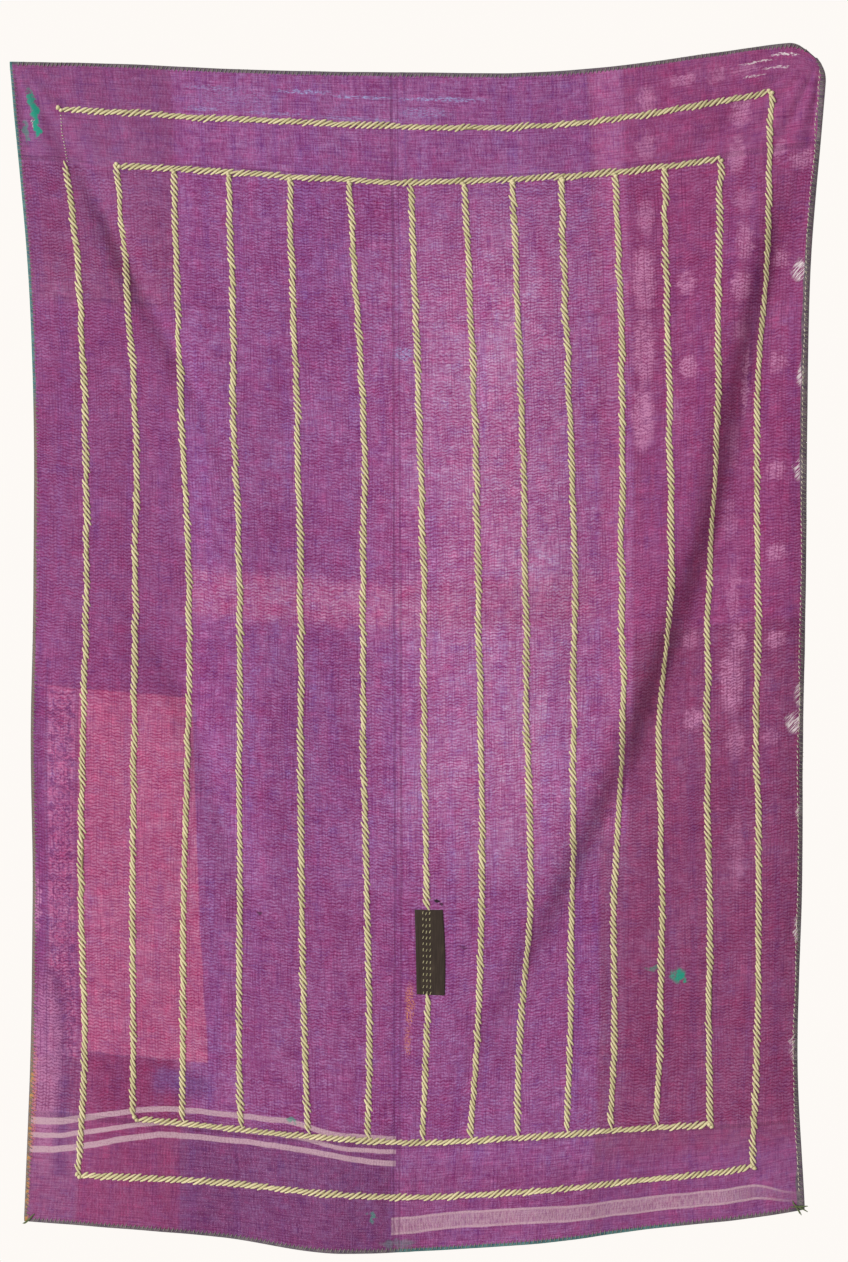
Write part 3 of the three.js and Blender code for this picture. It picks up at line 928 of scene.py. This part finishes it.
def blue_threads(finish, s, t, stray, threads, colour):
    """Thin broken streaks of blue, with a bluish bloom round them."""
    streaks = finish.noise(finish.at(s / 8, t / 1.6, 33.0), 1.0)
    blue = finish.spots(strayed(finish, s, t, stray, 20, 16), BLUE_THREADS)
    bloom = blue * finish.slope(threads, 0.2, 1.0) * 0.4
    colour = finish.mix(bloom, colour, dye(134, 112, 178))
    return finish.mix(blue * finish.slope(streaks, 0.5, 0.58), colour, dye(172, 172, 220))


def marks(finish, s, t, stray, fleck, grain, colour):
    """Orange threads, places worn through to white, and stains."""
    where = strayed(finish, s, t, stray, 20, 16)
    orange = finish.spots(where, ORANGE_THREADS) * finish.slope(fleck, 0.5, 0.58)
    colour = finish.mix(orange, colour, dye(226, 146, 96))
    frayed = finish.noise(finish.at((s + t) / 2.6, (s - t) / 34, 31.0), 1.0)
    torn = finish.spots(where, WORN_THROUGH) * finish.slope(frayed, 0.45, 0.54)
    broken = finish.slope(finish.noise(finish.at(s / 5, t / 3)), 0.4, 0.55)
    split = finish.spots(where, SPLITS) * broken
    colour = finish.mix(finish.most(torn * 1.1, split), colour, dye(244, 228, 232))
    ragged = strayed(finish, s, t, stray, 34, 30)
    stain = finish.spots(ragged, TEAL_STAINS) * finish.slope(grain, 0.2, 0.5, 0.6, 1.0)
    colour = finish.mix(stain, colour, dye(40, 158, 134))
    return finish.mix(finish.spots(where, DARK_SPOTS), colour, dye(48, 30, 44))


def quilted_cotton():
    """The face: dyed panels, rows of stitches, faded prints, stripes, wear and stains, with painted
    shade in the furrows, along the seam and in the creases, and a painted highlight on the crests.
    """
    finish = Finish("quilted_cotton")
    s, t = finish.flat_place()
    stray = finish.noise(finish.at(s / 13, t / 13), 3.0)
    blurred = finish.noise(finish.at(s / 20, t / 15, 17.0), 3.0, 0.7)
    motif_place = finish.at(s + (stray - 0.5) * 34, t + (blurred - 0.5) * 50)
    threads = finish.slope(finish.noise(finish.at(s / 3.1, t / 2.3, 1.0), 2.0), 0.36, 0.62)
    fleck = finish.noise(finish.at(s / 2.6, t / 1.5, 21.0), 1.0)
    grain = woven_grain(finish, s, t)
    row, step, draw = wavering_rows(finish, s, t)
    crest, pull = puckers(finish, row, step, draw)

    colour = dyed_panels(finish, s, t, PANELS, (137, 72, 122), (141, 76, 121))
    printed = printed_border(finish, s + (stray - 0.5) * 16, t + (blurred - 0.5) * 34)
    colour = finish.mix(printed * 0.68, colour, dye(112, 48, 106))
    strength = finish.inside(s, 320, 1130, 30) * 0.3 + 0.65
    colour = woven_threads(finish, s, t, colour, strength)
    colour, pale = crests_worn_lit_and_shaded(finish, s, t, colour, (row, step, crest, pull), grain)
    grainy = finish.mix(finish.slope(grain, 0.3, 0.7), (0.84, 0.52, 0.72, 1), (1.14, 1.46, 1.26, 1))
    colour = finish.mix(strength * 0.75, colour, grainy, "MULTIPLY")
    colour = flecks(finish, fleck, strength, colour)

    faded = finish.spots(motif_place, FADED) * finish.slope(blurred, 0.34, 0.56, 0.55, 1.0)
    broken = finish.slope(threads + pale * 1.2 - pull * 0.6, 0.1, 1.4, 0.15, 1.0)
    colour = finish.mix(faded * broken * 1.55, colour, dye(212, 142, 186))
    colour = blue_threads(finish, s, t, stray, threads, colour)
    stripes = finish.most(left_stripes(finish, s, t), right_stripe(finish, s, t))
    kept = finish.slope(threads + pale, 0.0, 1.3, 0.6, 0.95)
    colour = finish.mix(stripes * kept, colour, dye(204, 168, 182))
    colour = marks(finish, s, t, stray, fleck, grain, colour)

    crease = storage_creases(finish, s, t)
    # Painted shade along the creases.
    colour = tinted(finish, crease * 0.5, colour, (0.72, 0.6, 0.74))
    # Painted shade in two dark lines along the middle seam, which the bump also sinks.
    seam = finish.slope(abs(abs(s - SEAM) - 6), 3.2, 1.0)
    colour = finish.mix(seam * 0.42, colour, dye(108, 46, 98))
    colour = hems(finish, s, t, colour)

    weave = finish.noise(finish.at(s / 0.9, t / 0.9, 5.0), 2.0)
    height = crest * 0.45 - pull * crest * 0.3 + weave * 0.1 + threads * 0.1 + grain * 0.25
    return finish.finish(colour, height - seam * 0.3 - crease * 0.5)


def hems(finish, s, t, colour):
    """Turned edges: a dark one on the right, narrow ones elsewhere, teal here and there."""
    stray = (finish.noise(finish.at(s / 45, t / 45, 9.0), 2.0) - 0.5) * 7
    broad = finish.inside(t, 330, 900, 90) * 5 + finish.slope(t, 2100, 2240) * 5
    right = finish.slope(s + stray + broad, FLAT_WIDTH - 7.5, FLAT_WIDTH - 5)
    left = finish.slope(s + stray * 0.5, 5.5, 3.5)
    top = finish.slope(t + stray * 0.4, 7, 5)
    foot = finish.slope(t + stray * 0.4, FLAT_LENGTH - 7, FLAT_LENGTH - 5)
    lumps = finish.noise(finish.at(s / 12, t / 12), 3.0)
    grey = finish.mix(finish.slope(lumps, 0.3, 0.7), dye(82, 82, 92), dye(130, 122, 124))
    teal = finish.mix(finish.slope(lumps, 0.3, 0.7), dye(40, 104, 106), dye(84, 150, 142))
    on_teal = finish.inside(s, SEAM, 1290, 20)
    foot_cloth = finish.mix(on_teal, grey, teal)
    colour = finish.mix(foot * 0.85, colour, foot_cloth)
    colour = finish.mix(finish.most(right, top) * 0.85, colour, grey)
    side = finish.mix(finish.slope(t, 700, 640), dye(126, 116, 92), teal)
    colour = finish.mix(left * 0.8, colour, side)
    ochre = finish.slope(t, 1900, 2000) * finish.slope(s, 9, 4) * finish.slope(lumps, 0.5, 0.6)
    return finish.mix(ochre * 0.8, colour, dye(206, 150, 84))


def edge_cotton():
    finish = Finish("edge_cotton")
    s, t = finish.flat_place()
    lumps = finish.noise(finish.at(s / 11, t / 11), 2.0)
    colour = finish.mix(lumps, dye(82, 84, 92), dye(130, 122, 122))
    teal_foot = finish.inside(s, SEAM, 1300, 20) * finish.slope(t, 2200, 2240)
    teal_side = finish.slope(s, 40, 20) * finish.slope(t, 760, 640)
    teal = finish.most(teal_foot, teal_side)
    colour = finish.mix(teal * 0.8, colour, dye(44, 134, 124))
    return finish.finish(colour, lumps * 0.4)


def dashed_lines(finish, across, along, lines, kept):
    """Lines of dashes, where the embroidery's thread comes through and the lines are kept."""
    mask = 0.0
    for line in lines:
        mask = finish.most(mask, finish.slope(abs(across - line), 2.6, 1.4))
    return mask * kept * finish.inside(finish.fraction(along / DASH_PITCH), 0.1, 0.6, 0.05)


def backing_cotton():
    """The back, where the rows of stitches and the embroidery come through as dashes."""
    finish = Finish("backing_cotton")
    s, t = finish.flat_place()
    row, step, draw = (finish.attribute(name) for name in ("row", "step", "draw"))
    swell = abs(finish.maths("SINE", row * math.pi))
    crest = 1 - (1 - swell) * draw
    colour = dyed_panels(finish, s, t, BACK_PANELS, (160, 88, 138), (164, 92, 136))
    colour = woven_threads(finish, s, t, colour, 0.8)
    # Painted shade in the furrows and a painted highlight on the crests.
    furrow_shade_and_crest_light = finish.mix(crest, (0.8, 0.56, 0.74, 1), (1.06, 1.12, 1.08, 1))
    colour = finish.mix(1.0, colour, furrow_shade_and_crest_light, "MULTIPLY")
    drawn = finish.noise(finish.at(row * 0.7, step * 0.6, 9.0), 2.0)
    dash = finish.slope(swell, 0.5, 0.2) * finish.inside(finish.fraction(step), 0.2, 0.65, 0.1)
    dash = dash * finish.slope(drawn, 0.42, 0.56) * finish.slope(draw, 0.1, 0.9)
    colour = finish.mix(dash * 0.75, colour, dye(226, 186, 214))
    field = finish.inside(t, INNER_TOP, INNER_FOOT, 3)
    frame_width = finish.inside(s, 150, 1394, 50)
    all_upright = [INNER_LEFT, *LINES_ACROSS, PATCHED_LINE, INNER_RIGHT]
    upright = dashed_lines(finish, s, t, all_upright, field)
    level = dashed_lines(finish, t, s, FLAT_DOWN[1:5], frame_width)
    colour = finish.mix(finish.most(upright, level) * 0.85, colour, dye(214, 202, 138))
    colour = hems(finish, s, t, colour)
    return finish.finish(colour, crest * 0.5 + finish.noise(finish.at(s, t), 2.0) * 0.1)


def thread(name, light, dark, sheen=0.2):
    """Twisted thread in its own light colour, with painted shade in the dark colour down its flanks
    and towards the bottom of a knot.
    """
    finish = Finish(name, roughness=0.7, sheen=sheen)
    flank_shade = finish.attribute("flank_shade")
    shade = finish.attribute("shade")
    place_now = finish.node("ShaderNodeTexCoord", {}, output="Object")
    fine = {0: place_now, 1: (900, 900, 900)}
    lumps = finish.noise(finish.node("ShaderNodeVectorMath", fine, operation="MULTIPLY"))
    # The share of painted shade down the flanks, roughened by lumps.
    painted_shade = finish.slope(flank_shade + (lumps - 0.5) * 0.5, 0.2, 1.1)
    colour = finish.mix(painted_shade, dye(*light), dye(*dark))
    tone = finish.mix(shade, (0.84, 0.84, 0.78, 1), (1.12, 1.1, 1.14, 1))
    return finish.finish(finish.mix(1.0, colour, tone, "MULTIPLY"), lumps * 0.5)


def patch_cotton():
    finish = Finish("patch_cotton")
    s, t = finish.flat_place()
    streaks = finish.noise(finish.at(s / 2.2, t / 40), 3.0)
    lumps = finish.noise(finish.at(s / 16, t / 30, 4.0), 2.0)
    colour = finish.mix(streaks, dye(39, 31, 29), dye(77, 65, 56))
    colour = finish.mix(finish.slope(lumps, 0.5, 0.8) * 0.4, colour, dye(92, 80, 66))
    weave = finish.noise(finish.at(s / 1.1, t / 1.1), 2.0)
    return finish.finish(colour, weave * 0.25 + streaks * 0.3)


# ---- Embroidery -------------------------------------------------------------------------


def strand_shape(name, length, width, height, sink, sides, steps):
    """A short length of thread that comes up out of the cloth and goes down into it. It
    lies along x, and its section is wide in y and high in z."""
    points = []
    for step in range(steps + 1):
        along = 2 * step / steps - 1
        rise = height * (1 - along * along) - sink
        thick = 1 - 0.45 * abs(along) ** 3
        bend = 0.5 * math.sin(math.pi * along)
        for side in range(sides):
            angle = 2 * math.pi * side / sides
            y = bend + width / 2 * thick * math.cos(angle)
            z = rise + 0.42 * width * thick * math.sin(angle)
            points.append((along * length / 2 * MM, y * MM, z * MM))
    faces = [list(range(sides))[::-1]]
    for step in range(steps):
        for side in range(sides):
            a, b = step * sides + side, step * sides + (side + 1) % sides
            faces.append([a, b, b + sides, a + sides])
    faces.append([steps * sides + side for side in range(sides)])
    mesh = smooth_mesh(name, points, faces)
    turns = 2 * np.pi * np.arange(sides) / sides
    # How far down its flanks each point lies, where the thread finish paints shade.
    keep(mesh, "flank_shade", np.tile(np.clip(1 - np.sin(turns), 0, 1) ** 2, steps + 1))
    return place(mesh, name)


def knot_shape(name, radius):
    """A small round knot of thread, with its bottom in the cloth."""
    points = [(0, 0, radius * 1.3 * MM)]
    rings, sides = 3, 8
    for ring in range(1, rings + 1):
        tilt = math.pi * ring / (2 * rings) * 1.15
        for side in range(sides):
            turn = 2 * math.pi * (side + 0.5 * ring) / sides
            wide = radius * math.sin(tilt) * (1 + 0.16 * math.sin(3 * turn + ring))
            high = radius * 1.3 * math.cos(tilt)
            points.append((wide * math.cos(turn) * MM, wide * math.sin(turn) * MM, high * MM))
    faces = [[0, 1 + side, 1 + (side + 1) % sides] for side in range(sides)]
    for ring in range(rings - 1):
        first = 1 + ring * sides
        for side in range(sides):
            a, b = first + side, first + (side + 1) % sides
            faces.append([a, a + sides, b + sides, b])
    faces.append([1 + (rings - 1) * sides + side for side in range(sides)][::-1])
    mesh = smooth_mesh(name, points, faces)
    # The lower rings of a knot get more painted shade.
    keep(mesh, "flank_shade", [0.0] + [ring / rings for ring in range(1, rings + 1) for _ in range(sides)])
    return place(mesh, name)


PATH_STEP = 6


def stitch_paths(name, runs, outward):
    """Lines of points on the face for stitches to follow. A run is the flat places of its
    two ends, and the face's direction at each point is kept with it."""
    points = []
    lifts = []
    edges = []
    for number, (start, end) in enumerate(runs):
        count = max(2, round(math.dist(start, end) / PATH_STEP) + 1)
        s = np.linspace(start[0], end[0], count)
        t = np.linspace(start[1], end[1], count)
        stray = 2.0 * rumple(s + t, s - t + 700, 34, 90, 50 + number)
        if abs(end[0] - start[0]) > abs(end[1] - start[1]):
            t = t + stray
        else:
            s = s + stray
        first = sum(len(part) for part in points)
        points.append(cloth_points(s, t, CLOTH_THICKNESS / 2 + unevenness(s, t) + outward))
        lifts.append(face_normal(*hung_place(s, t)))
        edges += [(first + k, first + k + 1) for k in range(count - 1)]
    mesh = bpy.data.meshes.new(name)
    mesh.from_pydata(np.concatenate(points).tolist(), edges, [])
    lift = mesh.attributes.new("lift", "FLOAT_VECTOR", "POINT")
    lift.data.foreach_set("vector", np.concatenate(lifts).astype(np.float32).ravel())
    return place(mesh, name)


class Steps:
    """A tree of geometry nodes, made one step at a time."""

    def __init__(self, name):
        self.tree = bpy.data.node_groups.new(name, "GeometryNodeTree")
        shape = "NodeSocketGeometry"
        self.tree.interface.new_socket("Geometry", in_out="OUTPUT", socket_type=shape)
        self.given = {}
        self.start = self.tree.nodes.new("NodeGroupInput")
        self.end = self.tree.nodes.new("NodeGroupOutput")
        self.ask("Geometry", shape)

    def ask(self, name, kind):
        self.given[name] = self.tree.interface.new_socket(name, in_out="INPUT", socket_type=kind)
        return self.start.outputs[name]

    def step(self, kind, inputs, output=0, **settings):
        return add_node(self.tree, kind, inputs, settings).outputs[output]

    def finished(self, shape, finish):
        """Ends the tree with the shape made real and its material set."""
        real = self.step("GeometryNodeRealizeInstances", {"Geometry": shape})
        done = self.step("GeometryNodeSetMaterial", {"Geometry": real, "Material": finish})
        self.tree.links.new(done, self.end.inputs["Geometry"])
        return self


def turn_of_stitches(steps, slant, stray, seed):
    """The turn of each stitch: its top away from the cloth, and off the path by the slant."""
    tangent = steps.step("GeometryNodeInputTangent", {})
    lift = steps.step("GeometryNodeInputNamedAttribute", {"Name": "lift"}, data_type="FLOAT_VECTOR")
    facing = steps.step(
        "FunctionNodeAxesToRotation",
        {"Primary Axis": lift, "Secondary Axis": tangent},
        primary_axis="Z",
        secondary_axis="X",
    )
    least = steps.step("ShaderNodeMath", {0: slant, 1: stray}, operation="SUBTRACT")
    most = steps.step("ShaderNodeMath", {0: slant, 1: stray}, operation="ADD")
    angles = {2: least, 3: most, "Seed": seed}
    turn = steps.step("FunctionNodeRandomValue", angles, output=1, data_type="FLOAT")
    spin = steps.step("FunctionNodeAxisAngleToRotation", {"Axis": (0, 0, 1), "Angle": turn})
    both = {"Rotation": facing, "Rotate By": spin}
    return steps.step("FunctionNodeRotateRotation", both, rotation_space="LOCAL")


def stitches_along():
    """Stitches one after another along paths, each turned off the path by the slant."""
    steps = Steps("stitches_along")
    paths = steps.start.outputs["Geometry"]
    spacing = steps.ask("Spacing", "NodeSocketFloat")
    slant = steps.ask("Slant", "NodeSocketFloat")
    stray = steps.ask("Stray", "NodeSocketFloat")
    seed = steps.ask("Seed", "NodeSocketInt")
    shape = steps.ask("Shape", "NodeSocketObject")
    finish = steps.ask("Finish", "NodeSocketMaterial")
    curve = steps.step("GeometryNodeMeshToCurve", {"Mesh": paths})
    spaced = {"Curve": curve, "Length": spacing}
    even = steps.step("GeometryNodeResampleCurve", spaced, mode="LENGTH")
    turned = turn_of_stitches(steps, slant, stray, seed)
    sizes = {0: (0.84, 0.86, 0.85), 1: (1.12, 1.14, 1.12), "Seed": seed}
    size = steps.step("FunctionNodeRandomValue", sizes, data_type="FLOAT_VECTOR")
    stitch = steps.step("GeometryNodeObjectInfo", {"Object": shape}, output="Geometry")
    each = {"Points": even, "Instance": stitch, "Rotation": turned, "Scale": size}
    placed = steps.step("GeometryNodeInstanceOnPoints", each)
    any_shade = {2: 0.0, 3: 1.0, "Seed": 5}
    shade = steps.step("FunctionNodeRandomValue", any_shade, output=1, data_type="FLOAT")
    shaded = steps.step(
        "GeometryNodeStoreNamedAttribute",
        {"Geometry": placed, "Name": "shade", "Value": shade},
        data_type="FLOAT",
        domain="INSTANCE",
    )
    return steps.finished(shaded, finish)


def cord_along():
    """A plain round cord along paths."""
    steps = Steps("cord_along")
    paths = steps.start.outputs["Geometry"]
    radius = steps.ask("Radius", "NodeSocketFloat")
    finish = steps.ask("Finish", "NodeSocketMaterial")
    curve = steps.step("GeometryNodeMeshToCurve", {"Mesh": paths})
    ring = steps.step("GeometryNodeCurvePrimitiveCircle", {"Resolution": 6, "Radius": radius})
    swept = {"Curve": curve, "Profile Curve": ring, "Fill Caps": True}
    tube = steps.step("GeometryNodeCurveToMesh", swept)
    return steps.finished(tube, finish)


def sew(name, runs, outward, steps, choices):
    """The stitches along some runs, as one plain mesh."""
    paths = stitch_paths(name + "_paths", runs, outward)
    modifier = paths.modifiers.new("stitches", "NODES")
    modifier.node_group = steps.tree
    for choice, value in choices.items():
        modifier[steps.given[choice].identifier] = value
    bpy.context.view_layer.update()
    graph = bpy.context.evaluated_depsgraph_get()
    ready = paths.evaluated_get(graph)
    mesh = bpy.data.meshes.new_from_object(ready, preserve_all_data_layers=True, depsgraph=graph)
    mesh.name = name
    bpy.data.objects.remove(paths)
    return place(mesh, name)


# ---- The quilt's pieces ----------------------------------------------------------------

# Where the patch lies on the flat cloth, corner by corner from the top left clockwise.
PATCH_CORNERS = [(753, 1614), (804, 1615), (811, 1782), (758, 1779)]
PATCH_WIDTH = 50
PATCH_LENGTH = 166
PATCH_THICKNESS = 1.0
PATCH_GAP = 0.3

# Runs of rope embroidery, from one flat place to another.
OUTER_FRAME = [
    ((112, OUTER_TOP), (1431, OUTER_TOP)),
    ((112, OUTER_FOOT), (1431, OUTER_FOOT)),
    ((OUTER_LEFT, 213), (OUTER_LEFT, 2160)),
    ((OUTER_RIGHT, 113), (OUTER_RIGHT, 2160)),
]
INNER_FRAME = [
    ((210, INNER_TOP), (1339, INNER_TOP)),
    ((220, INNER_FOOT), (1339, INNER_FOOT)),
    ((INNER_LEFT, 214), (INNER_LEFT, 2058)),
    ((INNER_RIGHT, 214), (INNER_RIGHT, 2062)),
]

# Where the upright lines begin and end, and where the larger knots are.
LINE_TOP = 214
LINE_FOOT = 2056
KNOTS = [
    (OUTER_LEFT, OUTER_TOP),
    (OUTER_RIGHT, OUTER_TOP),
    (OUTER_LEFT, OUTER_FOOT),
    (OUTER_RIGHT, OUTER_FOOT),
    (INNER_LEFT, INNER_TOP),
    (INNER_RIGHT, INNER_TOP),
    (INNER_LEFT + 6, INNER_FOOT - 2),
    (INNER_RIGHT, INNER_FOOT),
]

# How far apart the strands of a rope are, how they slant, and the radius of its core.
ROPE_SPACING = 11
ROPE_SLANT = math.radians(26)
ROPE_CORE = 2.5


def patch_place(u, v):
    """The flat place of a point of the patch, u across and v down, from 0 to 1."""
    corners = [np.array(corner, float) for corner in PATCH_CORNERS]
    u = np.reshape(u, (-1, 1))
    v = np.reshape(v, (-1, 1))
    flat = (corners[0] * (1 - u) + corners[1] * u) * (1 - v)
    flat = flat + (corners[3] * (1 - u) + corners[2] * u) * v
    flat[:, 0] += (2.2 * np.sin(np.pi * v) * u).ravel()
    return flat[:, 0], flat[:, 1]


def patch_sheet(name, across=24, down=70):
    """The small dark patch, closed all round, that lies on the face."""
    v, u = np.meshgrid(np.linspace(0, 1, down + 1), np.linspace(0, 1, across + 1), indexing="ij")
    u = u.ravel()
    v = v.ravel()
    s, t = patch_place(u, v)
    under = CLOTH_THICKNESS / 2 + unevenness(s, t) + PUCKER_RISE + PATCH_GAP
    from_side = np.minimum(u, 1 - u) * PATCH_WIDTH
    from_side = np.minimum(from_side, np.minimum(v, 1 - v) * PATCH_LENGTH)
    thickness = PATCH_THICKNESS * (0.45 + 0.55 * ease(from_side / 3))
    over = under + thickness + 0.16 * rumple(s, t, 9, 14, 31)
    points = np.concatenate([cloth_points(s, t, over), cloth_points(s, t, under)])
    wide = across + 1
    count = wide * (down + 1)
    faces = []
    for j in range(down):
        for i in range(across):
            a = j * wide + i
            faces.append([a, a + wide, a + wide + 1, a + 1])
            faces.append([count + a, count + a + 1, count + a + wide + 1, count + a + wide])
    ring = [j * wide for j in range(down)] + [down * wide + i for i in range(across)]
    ring += [j * wide + across for j in range(down, 0, -1)] + list(range(across, 0, -1))
    for k, point in enumerate(ring):
        after = ring[(k + 1) % len(ring)]
        faces.append([point, count + point, count + after, after])
    mesh = smooth_mesh(name, points.tolist(), faces)
    lay_flat(mesh, np.tile(np.stack([s, t], 1), (2, 1)))
    return place(mesh, name)


def rope(name, runs, seed):
    choices = {"Spacing": ROPE_SPACING * MM, "Slant": ROPE_SLANT, "Stray": math.radians(9)}
    choices |= {"Seed": seed, "Shape": strand, "Finish": rope_thread.material}
    return sew(name, runs, 0.1, along, choices)


def line_runs():
    """The upright lines. The patch breaks one of them."""
    runs = [((s, LINE_TOP), (s, LINE_FOOT)) for s in LINES_ACROSS]
    top, foot = PATCH_CORNERS[0][1] - 8, PATCH_CORNERS[3][1] + 9
    runs.append(((PATCHED_LINE, LINE_TOP), (PATCHED_LINE, top)))
    runs.append(((PATCHED_LINE + 4, foot), (PATCHED_LINE, LINE_FOOT)))
    return runs


def rope_cores(name, runs):
    """A cord under the strands of the ropes, where thread lies, in a darker colour that is painted
    shade between the strands.
    """
    choices = {"Radius": ROPE_CORE * MM, "Finish": shaded_core_thread.material}
    return sew(name, runs, 0.2, cord_along(), choices)


def embroidery_knots():
    """Knots at the corners of the frames and where the lines begin, set close in pairs."""
    runs = [((s - 2, t - 2), (s + 3, t + 3)) for s, t in KNOTS]
    runs += [((s - 1, LINE_TOP - 5), (s + 1, LINE_TOP - 1)) for s in LINES_ACROSS]
    choices = {"Spacing": 5 * MM, "Slant": 0.0, "Stray": 1.5, "Seed": 4}
    choices |= {"Shape": knot, "Finish": rope_thread.material}
    return sew("rope_knots", runs, -0.6, along, choices)


def small_stitches(name, runs, spacing, slant, shape, finish, outward=0.3):
    choices = {"Spacing": spacing * MM, "Slant": math.radians(slant), "Stray": math.radians(9)}
    choices |= {"Seed": 21, "Shape": shape, "Finish": finish.material}
    return sew(name, runs, outward, along, choices)


face, back, edge = quilted_cotton(), backing_cotton(), edge_cotton()
# The second colour of each thread is the painted shade down its flanks.
rope_thread = thread("embroidery_cotton", (232, 221, 174), (202, 188, 138))
# The cord under the ropes, darkened as painted shade.
shaded_core_thread = thread("rope_core", (176, 160, 118), (146, 128, 102))
white_thread = thread("hem_thread", (214, 204, 186), (150, 132, 120))
dull_thread = thread("patch_thread", (176, 170, 130), (96, 90, 66))
green_thread = thread("tuft_thread", (98, 112, 66), (46, 60, 38))
grey_thread = thread("edge_thread", (146, 142, 132), (92, 90, 92))

along = stitches_along()
strand = strand_shape("strand", 26, 4.6, 2.3, 0.6, 6, 7)
knot = knot_shape("knot", 4.6)
short_stitch = strand_shape("short_stitch", 6.5, 2.2, 1.2, 0.4, 5, 4)
edge_stitch = strand_shape("edge_stitch", 9, 1.6, 1.0, 0.3, 5, 4)
tuft = strand_shape("tuft", 26, 3.0, 2.0, 0.0, 5, 6)
speck = strand_shape("speck", 3.6, 2.4, 1.2, 0.4, 5, 3)

left_half = quilt_half("quilt_left_width", 0, SEAM)
right_half = quilt_half("quilt_right_width", SEAM, FLAT_WIDTH)
for half in (left_half, right_half):
    for finish in (face, back, edge):
        half.data.materials.append(finish.material)
    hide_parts("quilt")

patch = patch_sheet("patch_cloth")
patch.data.materials.append(patch_cotton().material)
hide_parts("patch")

lines = rope("rope_lines", line_runs(), 3)
frames = rope("rope_frames", OUTER_FRAME + INNER_FRAME, 8)
cores = rope_cores("rope_cores", line_runs() + OUTER_FRAME + INNER_FRAME)
knots = embroidery_knots()
hem_run = [((1516, 60), (1516, 2240))]
hem_line = small_stitches("hem_stitches", hem_run, 10, 4, short_stitch, white_thread)
worn_run = [((103, 118), (104, 203))]
worn_line = small_stitches("worn_stitches", worn_run, 6, 30, speck, white_thread)
edge_runs = [
    ((4, 20), (4, 2270)),
    ((20, 2281), (1500, 2281)),
    ((1520, 2270), (1520, 20)),
    ((1500, 4), (20, 4)),
]
edge_line = small_stitches("edge_stitches", edge_runs, 8, 62, edge_stitch, grey_thread)
tuft_runs = [
    ((1513, 2276), (1520, 2278)),
    ((1514, 2277), (1520, 2283)),
    ((1512, 2278), (1515, 2285)),
    ((8, 2280), (4, 2284)),
]
tufts = small_stitches("corner_tufts", tuft_runs, 9, 0, tuft, green_thread)
patch_rows = [((766, 1620), (769, 1776)), ((773, 1622), (777, 1776)), ((780, 1621), (784, 1777))]
patch_line = small_stitches("patch_stitches", patch_rows, 11, -28, short_stitch, dull_thread, 1.5)
stitched = [lines, frames, cores, knots, hem_line, worn_line, edge_line, tufts, patch_line]
for piece in (left_half, right_half, patch, *stitched):
    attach(piece, "root")
for shape in (strand, knot, short_stitch, edge_stitch, tuft, speck):
    bpy.data.objects.remove(shape)


# ---- Camera, floor and light -----------------------------------------------------------

IMAGE_HEIGHT = 1262
MM_PER_PIXEL = 1.9
CAMERA_AWAY = 4.3
CAMERA_X = 0.011
CAMERA_Z = -1.060
QUILT_MIDDLE = (0, 0, -1.1)


def camera():
    data = bpy.data.cameras.new("camera")
    data.sensor_fit = "AUTO"
    data.sensor_width = 36
    long_side = IMAGE_HEIGHT * MM_PER_PIXEL * MM
    data.lens = data.sensor_width * CAMERA_AWAY / long_side
    eye = place(data, "camera")
    eye.location = (CAMERA_X, -CAMERA_AWAY, CAMERA_Z)
    eye.rotation_euler = (math.radians(90), 0, 0)
    bpy.context.scene.camera = eye


def soft_light(name, where, aim, size, power):
    data = bpy.data.lights.new(name, "AREA")
    data.shape = "RECTANGLE"
    data.size, data.size_y = size
    data.energy = power
    lamp = place(data, name)
    lamp.location = where
    lamp.rotation_euler = (Vector(aim) - Vector(where)).to_track_quat("-Z", "Y").to_euler()


def pale_room(strength):
    world = bpy.data.worlds.new("pale_room")
    world.use_nodes = True
    nodes, links = world.node_tree.nodes, world.node_tree.links
    room = nodes["Background"]
    room.inputs["Color"].default_value = (0.985, 0.95, 0.915, 1)
    ray = nodes.new("ShaderNodeLightPath")
    level = nodes.new("ShaderNodeMapRange")
    links.new(ray.outputs["Is Camera Ray"], level.inputs["Value"])
    level.inputs["To Min"].default_value = strength
    links.new(level.outputs["Result"], room.inputs["Strength"])
    bpy.context.scene.world = world


def pale_floor(depth, radius, sides=96):
    """A round floor well below the hem."""
    turns = np.linspace(0, 2 * np.pi, sides, endpoint=False)
    points = [(radius * math.cos(turn), radius * math.sin(turn), -depth) for turn in turns]
    mesh = bpy.data.meshes.new("floor")
    mesh.from_pydata(points, [], [list(range(sides))])
    paint = Finish("floor_paint", roughness=0.8)
    paint.shader.inputs["Base Color"].default_value = (0.86, 0.83, 0.8, 1)
    mesh.materials.append(paint.material)
    place(mesh, "floor")


camera()
pale_room(0.55)
pale_floor(depth=2.75, radius=1.6)
soft_light("window", (-9, -8, 1.4), QUILT_MIDDLE, (5, 5), 1650)
soft_light("far_window", (8, 9, 1.4), QUILT_MIDDLE, (5, 5), 1500)
bpy.context.scene.view_settings.view_transform = "Standard"
